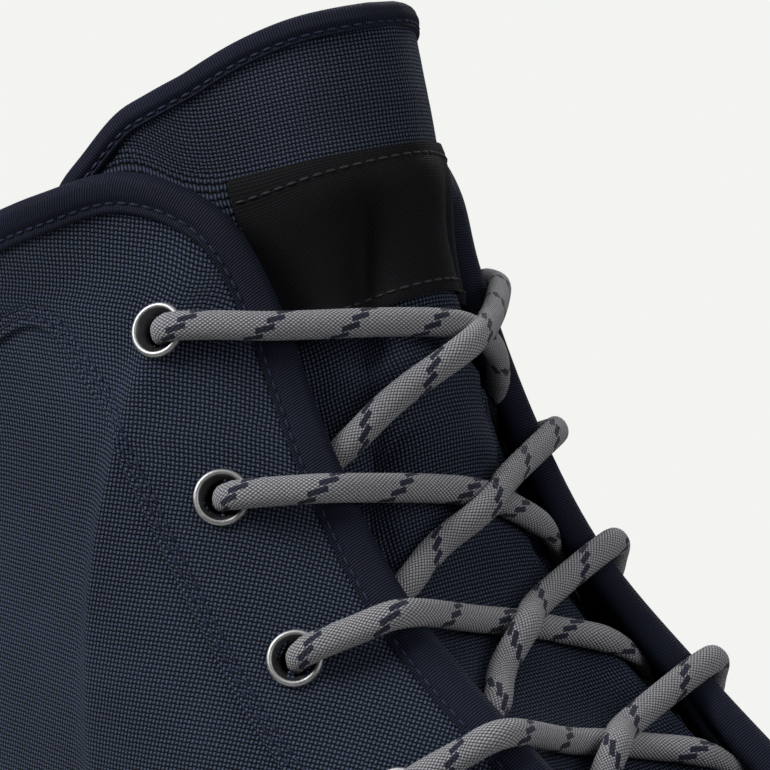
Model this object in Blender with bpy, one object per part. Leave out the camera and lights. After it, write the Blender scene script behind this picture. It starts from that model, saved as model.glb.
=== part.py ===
"""Wading boot, right foot, EU 43: a lace-up boot of woven nylon on a lugged rubber sole.

X runs from heel to toe, +Y to the medial side, +Z up. Everything is worked out in the last's
own frame, with x = 0 just behind the heel, and moved when a mesh is made so that the middle
of the box's floor is the origin. Sizes are in millimetres until then.
"""

import functools
import math

import bmesh
import bpy
import numpy as np

MM = 0.001

# Sizes of the last and of the boot
FOOT_LENGTH = 296.0        # feather line, heel to toe
BALL_WIDTH = 110.0         # feather line, across the ball
COLLAR_HEIGHT = 197.0      # floor to the front corner of the collar
THROAT_HALF_GAP = 26.0     # middle of the throat to its edge
HEEL_HEIGHT = 34.0         # floor to the top of the sole, under the heel
BALL_HEIGHT = 25.0         # floor to the top of the sole, under the ball
TOE_SPRING = 13.0
TOE_LIFTS = (0.72, 0.30)   # the toe lifts from here on, over this run: shares of FOOT_LENGTH
HEEL_FALLS = (0.18, 0.42)  # the same for the fall from heel to ball

# Upper
WALL = 3.0                 # woven face, foam and lining together
PANEL_STEP = 0.8           # the collar and eyestay panel lies on the quarter
PANEL_WIDTH = 32.0         # from the throat's edge down to the panel's seam
PANEL_BEND = 0.6           # share of its width where the panel's middle line runs
BELOW_PANEL = (1, 0.86, 0.62, 0.32)    # the wall's levels from the sole up to the seam
GIRTH_POINTS = 33
CLEARANCE = 0.3            # between pieces that meet
TAPE = 0.7                 # thickness of the binding tape
TAPE_WIDTH = 4.6           # how far the tape comes down each face
TAPE_GAP = 0.7             # between it and the curved faces that it folds over
TAPE_ROOF = 0.6            # between it and the edge itself

# Eyelets and lace
EYELETS_A_SIDE = 6
EYELET_SIDES = 9
BORE_SIDES = 12
EYELET_INSET = 19.5        # throat edge to the middle of an eyelet
EYELET_OUTER = 9.2
EYELET_BORE = 5.6
EYELET_SHEET = 0.5
EYELET_ROLL = 1.1          # height of the rolled flange
EYELET_SEAT = 0.45         # flat flange to the curved panel
EYELET_BACK = 0.6          # how far its barrel comes out of the lining
LACE_WIDTH = 5.0
LACE_HEIGHT = 4.2
LACE_JOIN = 0.4            # the upper lace of a crossing sinks this far into the lower
LACE_SIDES = 6
LACE_BEYOND = 3.4          # how far it runs straight on past the facing's edge
LACE_OVER_EYELET = EYELET_SEAT + EYELET_ROLL + 1.1
LACE_OVER_TAPE = TAPE_GAP + TAPE
LACE_OFF_PAD = 0.6         # between the lace and the tongue
BAR_LIFT = 2.0             # how far the lowest lace stands off the binding
LACE_MEETS_TONGUE = -0.6   # where it comes down on the pad and where it stops, shares of
LACE_STOPS = 0.78          # the way from the tongue's middle line to the facing's edge
LACE_STOP_COUNT = 9
CROSSING_WIDTH = 7.5       # over which the upper lace rises over the lower
LEAVES_EYELET, HALF_WAY, AT_TAPE = 0.02, 0.45, 0.8   # shares of `leaves` along the facing

# Tongue
TONGUE_POINTS = 15         # columns across it, and across the label
TONGUE_ABOVE = 30.5        # how far its top stands above the collar's front corner
TONGUE_THICK = 7.0         # in the middle of its padding
TONGUE_EDGE = 2.4          # at its edges
PAD_EASE = 22.0            # over which the padding thins towards them
UNDER_FACING = 3.0         # between the upper's inner face and the tongue
GROOVE_DEPTH = 2.4         # beside the middle pad
GROOVE_WIDTH = 7.0
SHIN_LEAN = 15.0           # degrees that the tongue leans back above the collar
TONGUE_TAPE = 3.2          # how far its tape comes down each face
TAPED_FROM = 9             # the row of its table where the tape starts
LABEL_BELOW_TOP = 22.5
LABEL_HEIGHT = 25.0
LABEL_SHORT = 4.0          # how far it stops short of the facing on each side
LABEL_THICK = 0.8
LABEL_GAP = 0.6            # behind the label, over the curved pad
LABEL_ROWS = 6

# Sole
SOLE_LIP = 5.0             # how far the sole stands out from the feather line
OUTSOLE_BASE = 4.0
LUG_HEIGHT = 5.0
ARCH_RISE = 6.0
RIB = 1.4                  # depth of the groove round the midsole
EDGE_ROUND = 0.5           # how far the sole's edges draw in
MIDSOLE_LEVELS = ((0, EDGE_ROUND), (0.30, 0), (0.36, RIB), (0.44, RIB), (0.50, 0),
                  (0.90, EDGE_ROUND), (1, 2.0))      # share of its height, inset from the lip
INSOLE = 3.0
INSOLE_PLAY = 0.8          # between the insole's edge and the upper
LUG_PITCH = 21.0
LUG_GAP = 7.0
LUG_REACH = 17.0           # how far an edge lug runs in from the sole's edge
SHORT_LUG = 0.75           # every other edge lug is this much shorter
CHEVRON_DEEP = 10.0        # a middle lug along the sole
CHEVRON_LEAD = 5.0         # how far its ends run ahead
CHEVRON_SPLIT = 2.0        # half the gap between its arms
CHEVRON_LEAST = 4.0        # arms shorter than this are left off
HEEL_LUGS_FROM = 20.0
ARCH_BARE = (0.27, 0.45)   # shares of FOOT_LENGTH with no lugs in the middle
ARCH_RISES, ARCH_ENDS = (0.25, 0.06), (0.50, 0.08)   # from here, over this run
FINE = 241                 # points round an outline that is only measured
SHARP_ANGLE = 35.0         # degrees, beyond which an edge is shaded sharp

# One row for each girth line, from the back of the heel to the toe. Shares of FOOT_LENGTH,
# BALL_WIDTH, THROAT_HALF_GAP, COLLAR_HEIGHT and PANEL_WIDTH, and two angles in degrees.
# foot_x, lateral, medial: the feather line. top_x, top_half, top_z: the top edge.
# turn, tilt: where the top edge's face looks, from the toe outwards and from level up.
# reach, rise: how far the girth line runs straight from its foot and from its top.
# panel: how wide the collar and eyestay panel is there.
GIRTH_COLUMNS = ("foot_x", "lateral", "medial", "top_x", "top_half", "top_z",
                 "turn", "tilt", "reach", "rise", "panel")
GIRTHS = [
    (0.014, 0.000, 0.000, 0.044, 0.00, 0.900, 180, -14, 0.38, 0.32, 0.64),
    (0.030, 0.160, 0.160, 0.060, 0.95, 0.900, 136, -13, 0.38, 0.32, 0.64),
    (0.074, 0.285, 0.285, 0.120, 1.50, 0.908, 108, -11, 0.38, 0.32, 0.64),
    (0.150, 0.355, 0.350, 0.200, 1.68, 0.940, 92, -8, 0.38, 0.32, 0.64),
    (0.228, 0.373, 0.352, 0.268, 1.63, 0.978, 80, -4, 0.38, 0.32, 0.66),
    (0.284, 0.382, 0.345, 0.318, 1.38, 1.000, 60, 0, 0.36, 0.32, 1.04),
    (0.330, 0.388, 0.338, 0.363, 1.10, 0.973, 42, 5, 0.33, 0.34, 1.19),
    (0.376, 0.396, 0.330, 0.391, 0.95, 0.905, 42, 11, 0.32, 0.36, 1.18),
    (0.448, 0.418, 0.328, 0.434, 0.94, 0.782, 48, 18, 0.32, 0.38, 1.07),
    (0.522, 0.450, 0.352, 0.487, 0.94, 0.675, 54, 24, 0.32, 0.40, 1.03),
    (0.604, 0.482, 0.408, 0.564, 0.93, 0.584, 56, 29, 0.32, 0.40, 1.00),
    (0.694, 0.500, 0.468, 0.644, 0.87, 0.506, 60, 34, 0.32, 0.40, 1.00),
    (0.788, 0.486, 0.492, 0.704, 0.75, 0.450, 60, 42, 0.34, 0.40, 0.90),
    (0.876, 0.424, 0.466, 0.732, 0.58, 0.436, 50, 52, 0.36, 0.40, 0.76),
    (0.958, 0.310, 0.365, 0.747, 0.33, 0.433, 30, 62, 0.40, 0.40, 0.66),
    (1.014, -0.050, 0.050, 0.752, 0.00, 0.432, 0, 68, 0.44, 0.40, 0.62),
]
FLARE = 0.12               # how far the upper leans out where it leaves the sole
EDGE_EASE = 2.2            # rows over which the girth lines fan out below the edge
EVEN_IN, EVEN_OUT = (2.2, 3.8), (5.5, 6.6)   # rows between which they are evened out
EVEN_STEPS = ((-1.6, 0.15), (-0.8, 0.22), (0.0, 0.26), (0.8, 0.22), (1.6, 0.15))
EVEN_EDGES = (0.12, 0.15)  # shares of their length over which that sets in and ends
THROAT_TOP = 6.32          # ring positions of the first eyelet
THROAT_FOOT = 11.75        # and of the last

# One row for each section of the tongue, from its foot to its top.
# girth, down: the ring position and depth below the edge where it comes out under the facing.
# wing_girth, wing_down: the same where its wing ends. above: share of TONGUE_ABOVE that the
# section stands above the collar. half: how much of the way to its wing's end it keeps.
# crown: how far its middle stands out, share of THROAT_HALF_GAP. pad: share of TONGUE_THICK.
# groove: half the middle pad's width, share of THROAT_HALF_GAP. dip: share of GROOVE_DEPTH.
# under: how far it lies below the upper's inner face, share of UNDER_FACING.
TONGUE_COLUMNS = ("girth", "down", "wing_girth", "wing_down", "above", "half", "crown",
                  "pad", "groove", "dip", "under")
TONGUE = [
    (14.6, 9.0, 13.2, 13.0, 0.00, 1.00, 0.00, 0.50, 1.00, 0.0, 0.20),
    (14.0, 3.0, 12.7, 13.0, 0.00, 1.00, 0.00, 0.60, 1.00, 0.0, 0.60),
    (13.0, 2.0, 12.0, 20.0, 0.00, 1.00, 0.02, 0.80, 1.00, 0.0, 1.00),
    (12.0, 2.0, 11.3, 26.0, 0.00, 1.00, -0.04, 1.00, 1.00, 0.0, 1.00),
    (11.0, 2.0, 10.5, 30.0, 0.00, 1.00, -0.08, 1.00, 1.00, 0.0, 1.00),
    (10.0, 2.0, 9.5, 34.0, 0.00, 1.00, -0.06, 1.00, 0.95, 0.6, 1.00),
    (9.0, 2.0, 8.5, 36.0, 0.00, 1.00, 0.08, 1.00, 0.85, 1.0, 1.00),
    (8.0, 2.0, 7.2, 38.0, 0.00, 1.00, 0.52, 1.00, 0.62, 1.0, 1.00),
    (7.0, 2.0, 5.6, 32.0, 0.00, 1.00, 0.75, 1.00, 0.45, 0.8, 1.00),
    (6.2, 2.0, 4.2, 14.0, 0.00, 1.00, 0.92, 1.00, 0.42, 0.0, 1.00),
    (6.0, 2.0, 4.0, 8.0, 0.12, 1.00, 0.92, 1.00, 0.42, 0.0, 1.00),
    (6.0, 2.0, 4.0, 8.0, 0.25, 0.96, 0.92, 1.00, 0.42, 0.0, 1.00),
    (6.0, 2.0, 4.0, 8.0, 0.36, 0.86, 0.92, 1.00, 0.42, 0.0, 1.00),
    (6.0, 2.0, 4.0, 8.0, 0.55, 0.72, 0.92, 0.85, 0.42, 0.0, 1.00),
    (6.0, 2.0, 4.0, 8.0, 0.78, 0.58, 0.92, 0.50, 0.42, 0.0, 1.00),
    (6.0, 2.0, 4.0, 8.0, 0.92, 0.43, 0.92, 0.35, 0.42, 0.0, 1.00),
    (6.0, 2.0, 4.0, 8.0, 0.985, 0.24, 0.92, 0.35, 0.42, 0.0, 1.00),
    (6.0, 2.0, 4.0, 8.0, 1.00, 0.05, 0.92, 0.35, 0.42, 0.0, 1.00),
]
SHOULDER_OUT = 0.56        # the pad's shoulder, shares of the half gap and of the crown
SHOULDER_UP = 0.70

CROSSED_ROWS = 10          # rows of the tongue's table that lie in the throat

# One row for each crossing of the lace, from the top. Shares of the way to the next eyelet:
# leaves, far: where the lateral and the medial lace leave their facing's edge.
# enters, slips: where each slips under the other's, the lateral lace and the medial one.
# drop: how much lower than between the two it crosses the tongue's middle.
# label: 1 where it crosses over the label, which lifts it.
LACING_COLUMNS = ("leaves", "far", "enters", "slips", "drop", "label")
LACING = [
    (0.62, 0.60, 1.02, 1.20, 0.00, 1),
    (0.45, 0.37, 0.97, 1.15, -0.05, 0),
    (0.33, 0.18, 0.84, 1.10, -0.13, 0),
    (0.28, 0.18, 0.80, 1.06, -0.18, 0),
    (0.25, 0.20, 0.80, 1.00, -0.16, 0),
]

HALF_RING = len(GIRTHS) - 1
RING = 2 * HALF_RING


def toe_lift(x):
    """Toe spring: how far the front of the sole curls up from the floor."""
    share = np.clip((x / FOOT_LENGTH - TOE_LIFTS[0]) / TOE_LIFTS[1], 0, 1.1)
    return TOE_SPRING * share * share


def eased(share):
    share = np.clip(share, 0, 1)
    return share * share * (3 - 2 * share)


def sole_top(x):
    """Height of the sole's upper face, where the feather line and the insole lie."""
    fall = (HEEL_HEIGHT - BALL_HEIGHT) * eased((x / FOOT_LENGTH - HEEL_FALLS[0]) / HEEL_FALLS[1])
    return HEEL_HEIGHT - fall + toe_lift(x)


def floor_line(x):
    """Height of the lugs' feet: down at heel and ball, raised under the arch and the toe."""
    share = x / FOOT_LENGTH
    up = eased((share - ARCH_RISES[0]) / ARCH_RISES[1])
    down = eased((ARCH_ENDS[0] - share) / ARCH_ENDS[1])
    return ARCH_RISE * up * down + toe_lift(x)


def girth_rings():
    """The table's columns as rings: lateral side out to the toe, medial side back."""
    order = list(range(HALF_RING + 1)) + list(range(HALF_RING - 1, 0, -1))
    foot, top, look, other = [], [], [], []
    for place, index in enumerate(order):
        row = dict(zip(GIRTH_COLUMNS, GIRTHS[index]))
        side = -1 if place <= HALF_RING else 1
        width = row["medial"] if side > 0 else row["lateral"]
        x = row["foot_x"] * FOOT_LENGTH
        foot.append((x, side * width * BALL_WIDTH, sole_top(x)))
        top.append((row["top_x"] * FOOT_LENGTH, side * row["top_half"] * THROAT_HALF_GAP,
                    row["top_z"] * COLLAR_HEIGHT))
        turn, tilt = math.radians(row["turn"]), math.radians(row["tilt"])
        look.append((math.cos(turn) * math.cos(tilt), side * math.sin(turn) * math.cos(tilt),
                     math.sin(tilt)))
        other.append((row["reach"], row["rise"], row["panel"] * PANEL_WIDTH))
    return np.array(foot), np.array(top), np.array(look), np.array(other)


FOOT, TOP, LOOK, OTHER = girth_rings()


def smooth(a, b, c, d, t):
    """Between b and c on a smooth curve that also heeds a and d."""
    return 0.5 * (2 * b + (c - a) * t + (2 * a - 5 * b + 4 * c - d) * t * t
                  + (3 * b - a - 3 * c + d) * t ** 3)


def around(ring, u):
    """A closed ring's value at position u."""
    low = math.floor(u)
    return smooth(*(ring[(low + k) % RING] for k in (-1, 0, 1, 2)), u - low)


def between(rows, t):
    """An open table's value at row position t."""
    last = len(rows) - 1
    low = min(max(math.floor(t), 0), last - 1)
    return smooth(*(rows[min(max(low + k, 0), last)] for k in (-1, 0, 1, 2)), t - low)


def unit(vector):
    return vector / np.linalg.norm(vector)


def slope(ring, u, step):
    return unit(around(ring, u + step) - around(ring, u - step))


def arcs_of(points):
    return np.concatenate(([0], np.cumsum(np.linalg.norm(np.diff(points, axis=0), axis=1))))


def along(points, arcs, distance):
    return np.array([np.interp(distance, arcs, points[:, axis]) for axis in range(3)])


def outward_in_plan(u):
    """Away from the foot, level, square to the feather line."""
    run = slope(FOOT, u, 0.05)
    return unit(np.array((run[1], -run[0], 0.0)))


def plain_girth(u):
    """Points down the girth line at ring position u, and its direction at the top edge."""
    foot, top = around(FOOT, u), around(TOP, u)
    reach, rise, _ = around(OTHER, u)
    chord = np.linalg.norm(top - foot)
    down = unit(np.cross(slope(TOP, u, EDGE_EASE), around(LOOK, u)))
    up = unit(np.array((0, 0, 1.0)) + FLARE * outward_in_plan(u))
    near_top = top + chord * rise * down
    near_foot = foot + chord * reach * up
    t = np.linspace(0, 1, GIRTH_POINTS)[:, None]
    points = ((1 - t) ** 3 * top + 3 * (1 - t) ** 2 * t * near_top
              + 3 * (1 - t) * t * t * near_foot + t ** 3 * foot)
    return points, down


@functools.lru_cache(maxsize=None)
def girth(u):
    """The girth line, evened out with its neighbours beside the throat, and its arcs."""
    points, down = plain_girth(u)
    near = min(u, RING - u)
    strength = (eased((near - EVEN_IN[0]) / (EVEN_IN[1] - EVEN_IN[0]))
                * eased((EVEN_OUT[1] - near) / (EVEN_OUT[1] - EVEN_OUT[0])))
    if strength > 0:
        t = np.linspace(0, 1, GIRTH_POINTS)
        strength = strength * eased(t / EVEN_EDGES[0]) * eased((1 - t) / EVEN_EDGES[1])
        even = sum(weight * plain_girth(u + step)[0] for step, weight in EVEN_STEPS)
        points = points + strength[:, None] * (even - points)
    return points, arcs_of(points), down


def girth_length(u):
    return girth(u % RING)[1][-1]


def skin(u, down):
    """A point of the upper's face, `down` millimetres below its top edge."""
    points, arcs, direction = girth(u % RING)
    if down < 0:
        return points[0] + down * direction
    return along(points, arcs, down)


def outward(u, down):
    """The direction in which the upper's face looks there."""
    level = min(max(down, 0), girth_length(u))
    across = skin(u + 0.04, level) - skin(u - 0.04, level)
    below = skin(u, min(level + 1.5, girth_length(u)))
    return unit(np.cross(below - skin(u, max(level - 1.5, 0)), across))


def wall(u, down, out=0.0):
    """A point `out` millimetres outside the upper's face."""
    return skin(u, down) + out * outward(u, down)


TONGUE_ROWS = np.array(TONGUE)


@functools.lru_cache(maxsize=None)
def tongue_base(t):
    """The points that a tongue section hangs from: its wing and its edge, both sides."""
    girth_u, down, wing_u, wing_down, above = between(TONGUE_ROWS, t)[:5]
    lean = math.radians(SHIN_LEAN)
    lift = above * TONGUE_ABOVE * np.array((-math.sin(lean), 0, math.cos(lean)))
    inside = -WALL - between(TONGUE_ROWS, t)[10] * UNDER_FACING
    half = [wall(wing_u + (girth_u - wing_u) * share, wing_down + (down - wing_down) * share,
                 inside) + lift for share in (0, 0.5, 1)]
    other = [wall(RING - wing_u - (girth_u - wing_u) * share,
                  wing_down + (down - wing_down) * share, inside) + lift for share in (0, 0.5, 1)]
    return half, other


@functools.lru_cache(maxsize=None)
def tongue_section(t):
    """The tongue's outer face across row position t, lateral to medial, and its arcs."""
    last = len(TONGUE) - 1
    half, other = tongue_base(t)
    centre = (half[2] + other[2]) / 2
    before, after = (sum(side[2] for side in tongue_base(min(max(t + step, 0), last)))
                     for step in (-1.2, 1.2))
    rise = unit(after - before)
    front = unit(np.array((rise[2], 0, -rise[0])))
    crown = between(TONGUE_ROWS, t)[6] * THROAT_HALF_GAP * front
    shoulders = [centre + SHOULDER_OUT * (end - centre) + SHOULDER_UP * crown
                 for end in (half[2], other[2])]
    posts = half + [shoulders[0], centre + crown, shoulders[1]] + other[::-1]
    fine = np.array([between(posts, place) for place in np.linspace(0, len(posts) - 1, 81)])
    arcs = arcs_of(fine)
    return fine, arcs - arcs[-1] / 2


def tongue_face(t, s, out=0.0):
    """A point of the tongue's face, s millimetres round from its middle line."""
    here = along(*tongue_section(t), s)
    last = len(TONGUE) - 1
    across = along(*tongue_section(t), s + 1) - along(*tongue_section(t), s - 1)
    upwards = (along(*tongue_section(min(t + 0.1, last)), s)
               - along(*tongue_section(max(t - 0.1, 0)), s))
    look = unit(np.cross(across, upwards))
    return here + out * look


def tongue_half(t):
    """Half the tongue's width there, measured round it."""
    return min(between(TONGUE_ROWS, t)[5], 1.0) * tongue_section(t)[1][-1]


def groove(t, s):
    """How deep the grooves beside the middle pad are there."""
    place, dip = between(TONGUE_ROWS, t)[8:10]
    off = (abs(s) - place * THROAT_HALF_GAP) / (GROOVE_WIDTH / 2)
    return max(dip, 0) * GROOVE_DEPTH * math.exp(-off * off)


def overall_middle():
    """The middle of the sole's box, which is the boot's box in plan."""
    edge = np.array([sole_edge(u, SOLE_LIP) for u in np.linspace(0, RING, FINE)])
    return np.array(((edge[:, 0].min() + edge[:, 0].max()) / 2,
                     (edge[:, 1].min() + edge[:, 1].max()) / 2, 0.0))


def sole_edge(u, grow):
    """A point of the sole's outline, `grow` millimetres out from the feather line."""
    return around(FOOT, u) + grow * outward_in_plan(u)


MIDDLE = overall_middle()


def grid_faces(rows, columns, closed):
    """Quads between the rows of a grid, whose columns may close into a ring."""
    faces = []
    for row in range(rows - 1):
        for column in range(columns if closed else columns - 1):
            after = (column + 1) % columns
            here, there = row * columns, (row + 1) * columns
            faces.append((here + column, here + after, there + after, there + column))
    return faces


def make(name, points, faces, material, smooth_shading=True):
    """One named object from points in millimetres, its faces turned outwards."""
    mesh = bpy.data.meshes.new(name)
    mesh.from_pydata([tuple((point - MIDDLE) * MM) for point in points], [], faces)
    form = bmesh.new()
    form.from_mesh(mesh)
    bmesh.ops.recalc_face_normals(form, faces=form.faces)
    if form.calc_volume(signed=True) < 0:
        bmesh.ops.reverse_faces(form, faces=form.faces)
    form.to_mesh(mesh)
    form.free()
    if smooth_shading:
        mesh.shade_smooth()
        mesh.set_sharp_from_angle(angle=math.radians(SHARP_ANGLE))
    mesh.materials.append(material)
    piece = bpy.data.objects.new(name, mesh)
    bpy.context.collection.objects.link(piece)
    return piece


def loft(name, rings, material, capped):
    """A solid through rings of points: closed on itself, or with a cap on each end."""
    count, sides = len(rings), len(rings[0])
    points = [point for ring in rings for point in ring]
    faces = grid_faces(count, sides, closed=True)
    last = (count - 1) * sides
    if capped:
        faces += [tuple(range(sides)), tuple(range(last, last + sides))]
    else:
        faces += [(last + k, last + (k + 1) % sides, (k + 1) % sides, k) for k in range(sides)]
    return make(name, points, faces, material)


def combine(piece, other, operation):
    """Cut or join `other` into `piece`, and drop it."""
    modifier = piece.modifiers.new(operation.lower(), "BOOLEAN")
    modifier.operation = operation
    modifier.solver = "EXACT"
    modifier.object = other
    bpy.context.view_layer.update()
    whole = bpy.data.meshes.new_from_object(piece.evaluated_get(
        bpy.context.evaluated_depsgraph_get()))
    piece.modifiers.clear()
    piece.data = whole
    bpy.data.objects.remove(other, do_unlink=True)


def finish(name, colour, roughness, metallic=0.0):
    material = bpy.data.materials.new(name)
    material.use_nodes = True
    shader = material.node_tree.nodes["Principled BSDF"]
    shader.inputs["Base Color"].default_value = (*colour, 1)
    shader.inputs["Roughness"].default_value = roughness
    shader.inputs["Metallic"].default_value = metallic
    return material


def ring_positions():
    """Ring positions of the sections: two for each row of the table."""
    return [place / 2 for place in range(2 * RING)]


def section_of_upper(u):
    """The closed outline of the upper's wall on one girth line."""
    length = girth_length(u)
    seam = around(OTHER, u)[2]
    levels = [seam + (length - seam) * share for share in BELOW_PANEL]
    outer = [(down, 0) for down in levels]
    outer += [(seam + PANEL_STEP, 0), (seam, PANEL_STEP)]
    outer += [(down, PANEL_STEP) for down in (seam * PANEL_BEND, TAPE_WIDTH, 0)]
    inner = [(down, -WALL) for down, _ in reversed(outer) if down != seam + PANEL_STEP]
    return [wall(u, down, out) for down, out in outer + inner]


def turned(name, centre, axis, profile, sides, material):
    """A ring turned round an axis from a closed profile of (radius, height)."""
    across = unit(np.cross(axis, (0.3, 0.2, 1.0)))
    back = np.cross(axis, across)
    rings = []
    for step in range(sides):
        angle = 2 * math.pi * step / sides
        spoke = math.cos(angle) * across + math.sin(angle) * back
        rings.append([centre + radius * spoke + height * axis for radius, height in profile])
    return loft(name, rings, material, capped=False)


def eyelet_positions():
    """Ring positions of the lateral eyelets, evenly spaced along the facing."""
    places = np.linspace(THROAT_TOP, THROAT_FOOT, 161)
    arcs = arcs_of(np.array([skin(u, EYELET_INSET) for u in places]))
    shares = np.linspace(0, arcs[-1], EYELETS_A_SIDE)
    return [float(np.interp(share, arcs, places)) for share in shares]


def make_upper(material):
    upper = loft("upper", [section_of_upper(u) for u in ring_positions()], material,
                 capped=False)
    radius = EYELET_BORE / 2 + EYELET_SHEET + CLEARANCE
    for lateral in eyelet_positions():
        for u in (lateral, RING - lateral):
            centre, axis = skin(u, EYELET_INSET), outward(u, EYELET_INSET)
            across = unit(np.cross(axis, (0.3, 0.2, 1.0)))
            back = np.cross(axis, across)
            rings = []
            for height in (-2 * WALL, 2 * WALL):
                rings.append([centre + height * axis + radius * (
                    math.cos(turn) * across + math.sin(turn) * back)
                    for turn in np.linspace(0, 2 * math.pi, BORE_SIDES, endpoint=False)])
            combine(upper, loft("bore", rings, material, capped=True), "DIFFERENCE")
    return upper


def tape_outline(width, near, far):
    """A folded tape's outline: how far in from the edge, and how far out from the face."""
    return [(width, near), (width, near + TAPE), (-TAPE_ROOF - TAPE, near + TAPE),
            (-TAPE_ROOF - TAPE, far - TAPE), (width, far - TAPE), (width, far),
            (-TAPE_ROOF, far), (-TAPE_ROOF, near)]


def make_binding(material):
    """The tape folded over the top edge, collar and throat in one run."""
    outline = tape_outline(TAPE_WIDTH, PANEL_STEP + TAPE_GAP, -WALL - TAPE_GAP)
    rings = [[wall(u, down, out) for down, out in outline] for u in ring_positions()]
    return loft("binding", rings, material, capped=False)


def make_eyelets(material):
    bore, outer = EYELET_BORE / 2, EYELET_OUTER / 2
    seat = PANEL_STEP + EYELET_SEAT
    back = -WALL - EYELET_BACK
    crest = seat + EYELET_ROLL
    profile = [(bore, back), (bore, (seat + crest) / 2), ((bore + outer) / 2, crest),
               (outer, seat), (bore + EYELET_SHEET, seat), (bore + EYELET_SHEET, back)]
    for number, lateral in enumerate(eyelet_positions(), 1):
        for side, u in (("lateral", lateral), ("medial", RING - lateral)):
            turned(f"eyelet_{side}_{number}", skin(u, EYELET_INSET),
                   outward(u, EYELET_INSET), profile, EYELET_SIDES, material)


def tongue_thickness(t, s):
    """Padded in the middle and thin at the edges and in the wings."""
    pad = between(TONGUE_ROWS, t)[7] * TONGUE_THICK
    from_edge = tongue_half(t) - abs(s) - TONGUE_TAPE - 1
    return TONGUE_EDGE + (pad - TONGUE_EDGE) * eased(from_edge / PAD_EASE)


def make_tongue(material):
    last = len(TONGUE) - 1
    rows = [0, 1, 2, 3] + [row + half for row in range(3, last) for half in (0.5, 1.0)]
    rings = []
    for t in rows:
        half = tongue_half(t)
        places = [half * math.sin(math.pi / 2 * share) for share in np.linspace(-1, 1, TONGUE_POINTS)]
        outer = [tongue_face(t, s, -groove(t, s)) for s in places]
        inner = [tongue_face(t, s, -max(tongue_thickness(t, s), groove(t, s) + TONGUE_EDGE))
                 for s in reversed(places)]
        rings.append(outer + inner)
    return loft("tongue", rings, material, capped=True)


def sole_loft(name, levels, material):
    """A solid between the sole's outlines, each level being (height of x, grow)."""
    rings = []
    for height, grow in levels:
        ring = [sole_edge(u, grow) for u in ring_positions()]
        rings.append([np.array((x, y, height(x))) for x, y, _ in ring])
    count, sides = len(rings), len(rings[0])
    points = [point for ring in rings for point in ring]
    faces = grid_faces(count, sides, closed=True)
    for start in (0, (count - 1) * sides):
        ladder = [(start + k, start + k + 1, start + (sides - k - 1) % sides,
                   start + (sides - k) % sides) for k in range(sides // 2)]
        faces += [tuple(dict.fromkeys(rung)) for rung in ladder]
    return make(name, points, faces, material)


def outsole_top(x):
    return floor_line(x) + LUG_HEIGHT + OUTSOLE_BASE


def make_midsole(material):
    def level(share):
        return lambda x: (outsole_top(x) + CLEARANCE) * (1 - share) + (
            sole_top(x) - CLEARANCE) * share

    levels = [(level(share), SOLE_LIP - inset) for share, inset in MIDSOLE_LEVELS]
    return sole_loft("midsole", levels, material)


def make_insole(material):
    inset = -WALL - INSOLE_PLAY
    levels = [(lambda x: sole_top(x), inset), (lambda x: sole_top(x) + INSOLE, inset)]
    return sole_loft("insole", levels, material)


def lug(corners, material):
    """A lug from the floor line up into the outsole's base, over corners in plan."""
    low = [np.array((x, y, floor_line(x))) for x, y in corners]
    high = [np.array((x, y, floor_line(x) + LUG_HEIGHT + OUTSOLE_BASE / 2))
            for x, y in corners]
    return loft("lug", [low, high], material, capped=True)


def make_outsole(material):
    def base(share):
        return lambda x: floor_line(x) + LUG_HEIGHT + OUTSOLE_BASE * share

    outsole = sole_loft("outsole", [(base(0), SOLE_LIP - EDGE_ROUND), (base(0.2), SOLE_LIP),
                                    (base(1), SOLE_LIP)], material)
    places = np.linspace(0, RING, FINE)
    arcs = arcs_of(np.array([sole_edge(u, SOLE_LIP) for u in places]))
    count = round(arcs[-1] / LUG_PITCH)
    lugs = []
    for number in range(count):
        start = arcs[-1] * number / count
        reach = np.linspace(start, start + arcs[-1] / count - LUG_GAP, 3)
        spots = [float(np.interp(arc, arcs, places)) for arc in reach]
        rim = [sole_edge(u, SOLE_LIP - EDGE_ROUND)[:2] for u in spots]
        deep = LUG_REACH * (SHORT_LUG if number % 2 else 1.0)
        root = [sole_edge(u, SOLE_LIP - deep)[:2] for u in (spots[2], spots[0])]
        lugs.append(lug(rim + root, material))
    for x in np.arange(HEEL_LUGS_FROM, FOOT_LENGTH - LUG_REACH, LUG_PITCH):
        share = x / FOOT_LENGTH
        if ARCH_BARE[0] < share < ARCH_BARE[1]:
            continue
        low, high = sole_span(x)
        lugs += [lug(bar, material) for bar in chevron(x, low, high)]
    for piece in lugs:
        combine(outsole, piece, "UNION")
    return outsole


def sole_span(x):
    """Where the middle lugs may run across the sole at x, clear of the edge lugs."""
    sides = []
    for start, end in ((0, HALF_RING), (HALF_RING, RING)):
        places = np.linspace(start, end, FINE)
        line = np.array([sole_edge(u, SOLE_LIP - LUG_REACH - LUG_GAP / 2) for u in places])
        order = np.argsort(line[:, 0])
        sides.append(float(np.interp(x, line[order, 0], line[order, 1])))
    return sides


def chevron(x, low, high):
    """A broad V across the sole in two arms that stop short of each other."""
    middle = (low + high) / 2
    tip = x + CHEVRON_LEAD
    arms = []
    for end, side in ((low, -1), (high, 1)):
        near = middle + side * CHEVRON_SPLIT
        if (end - near) * side > CHEVRON_LEAST:
            arms.append([(x, near), (x + CHEVRON_DEEP, near), (tip + CHEVRON_DEEP, end),
                         (tip, end)])
    return arms


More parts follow.
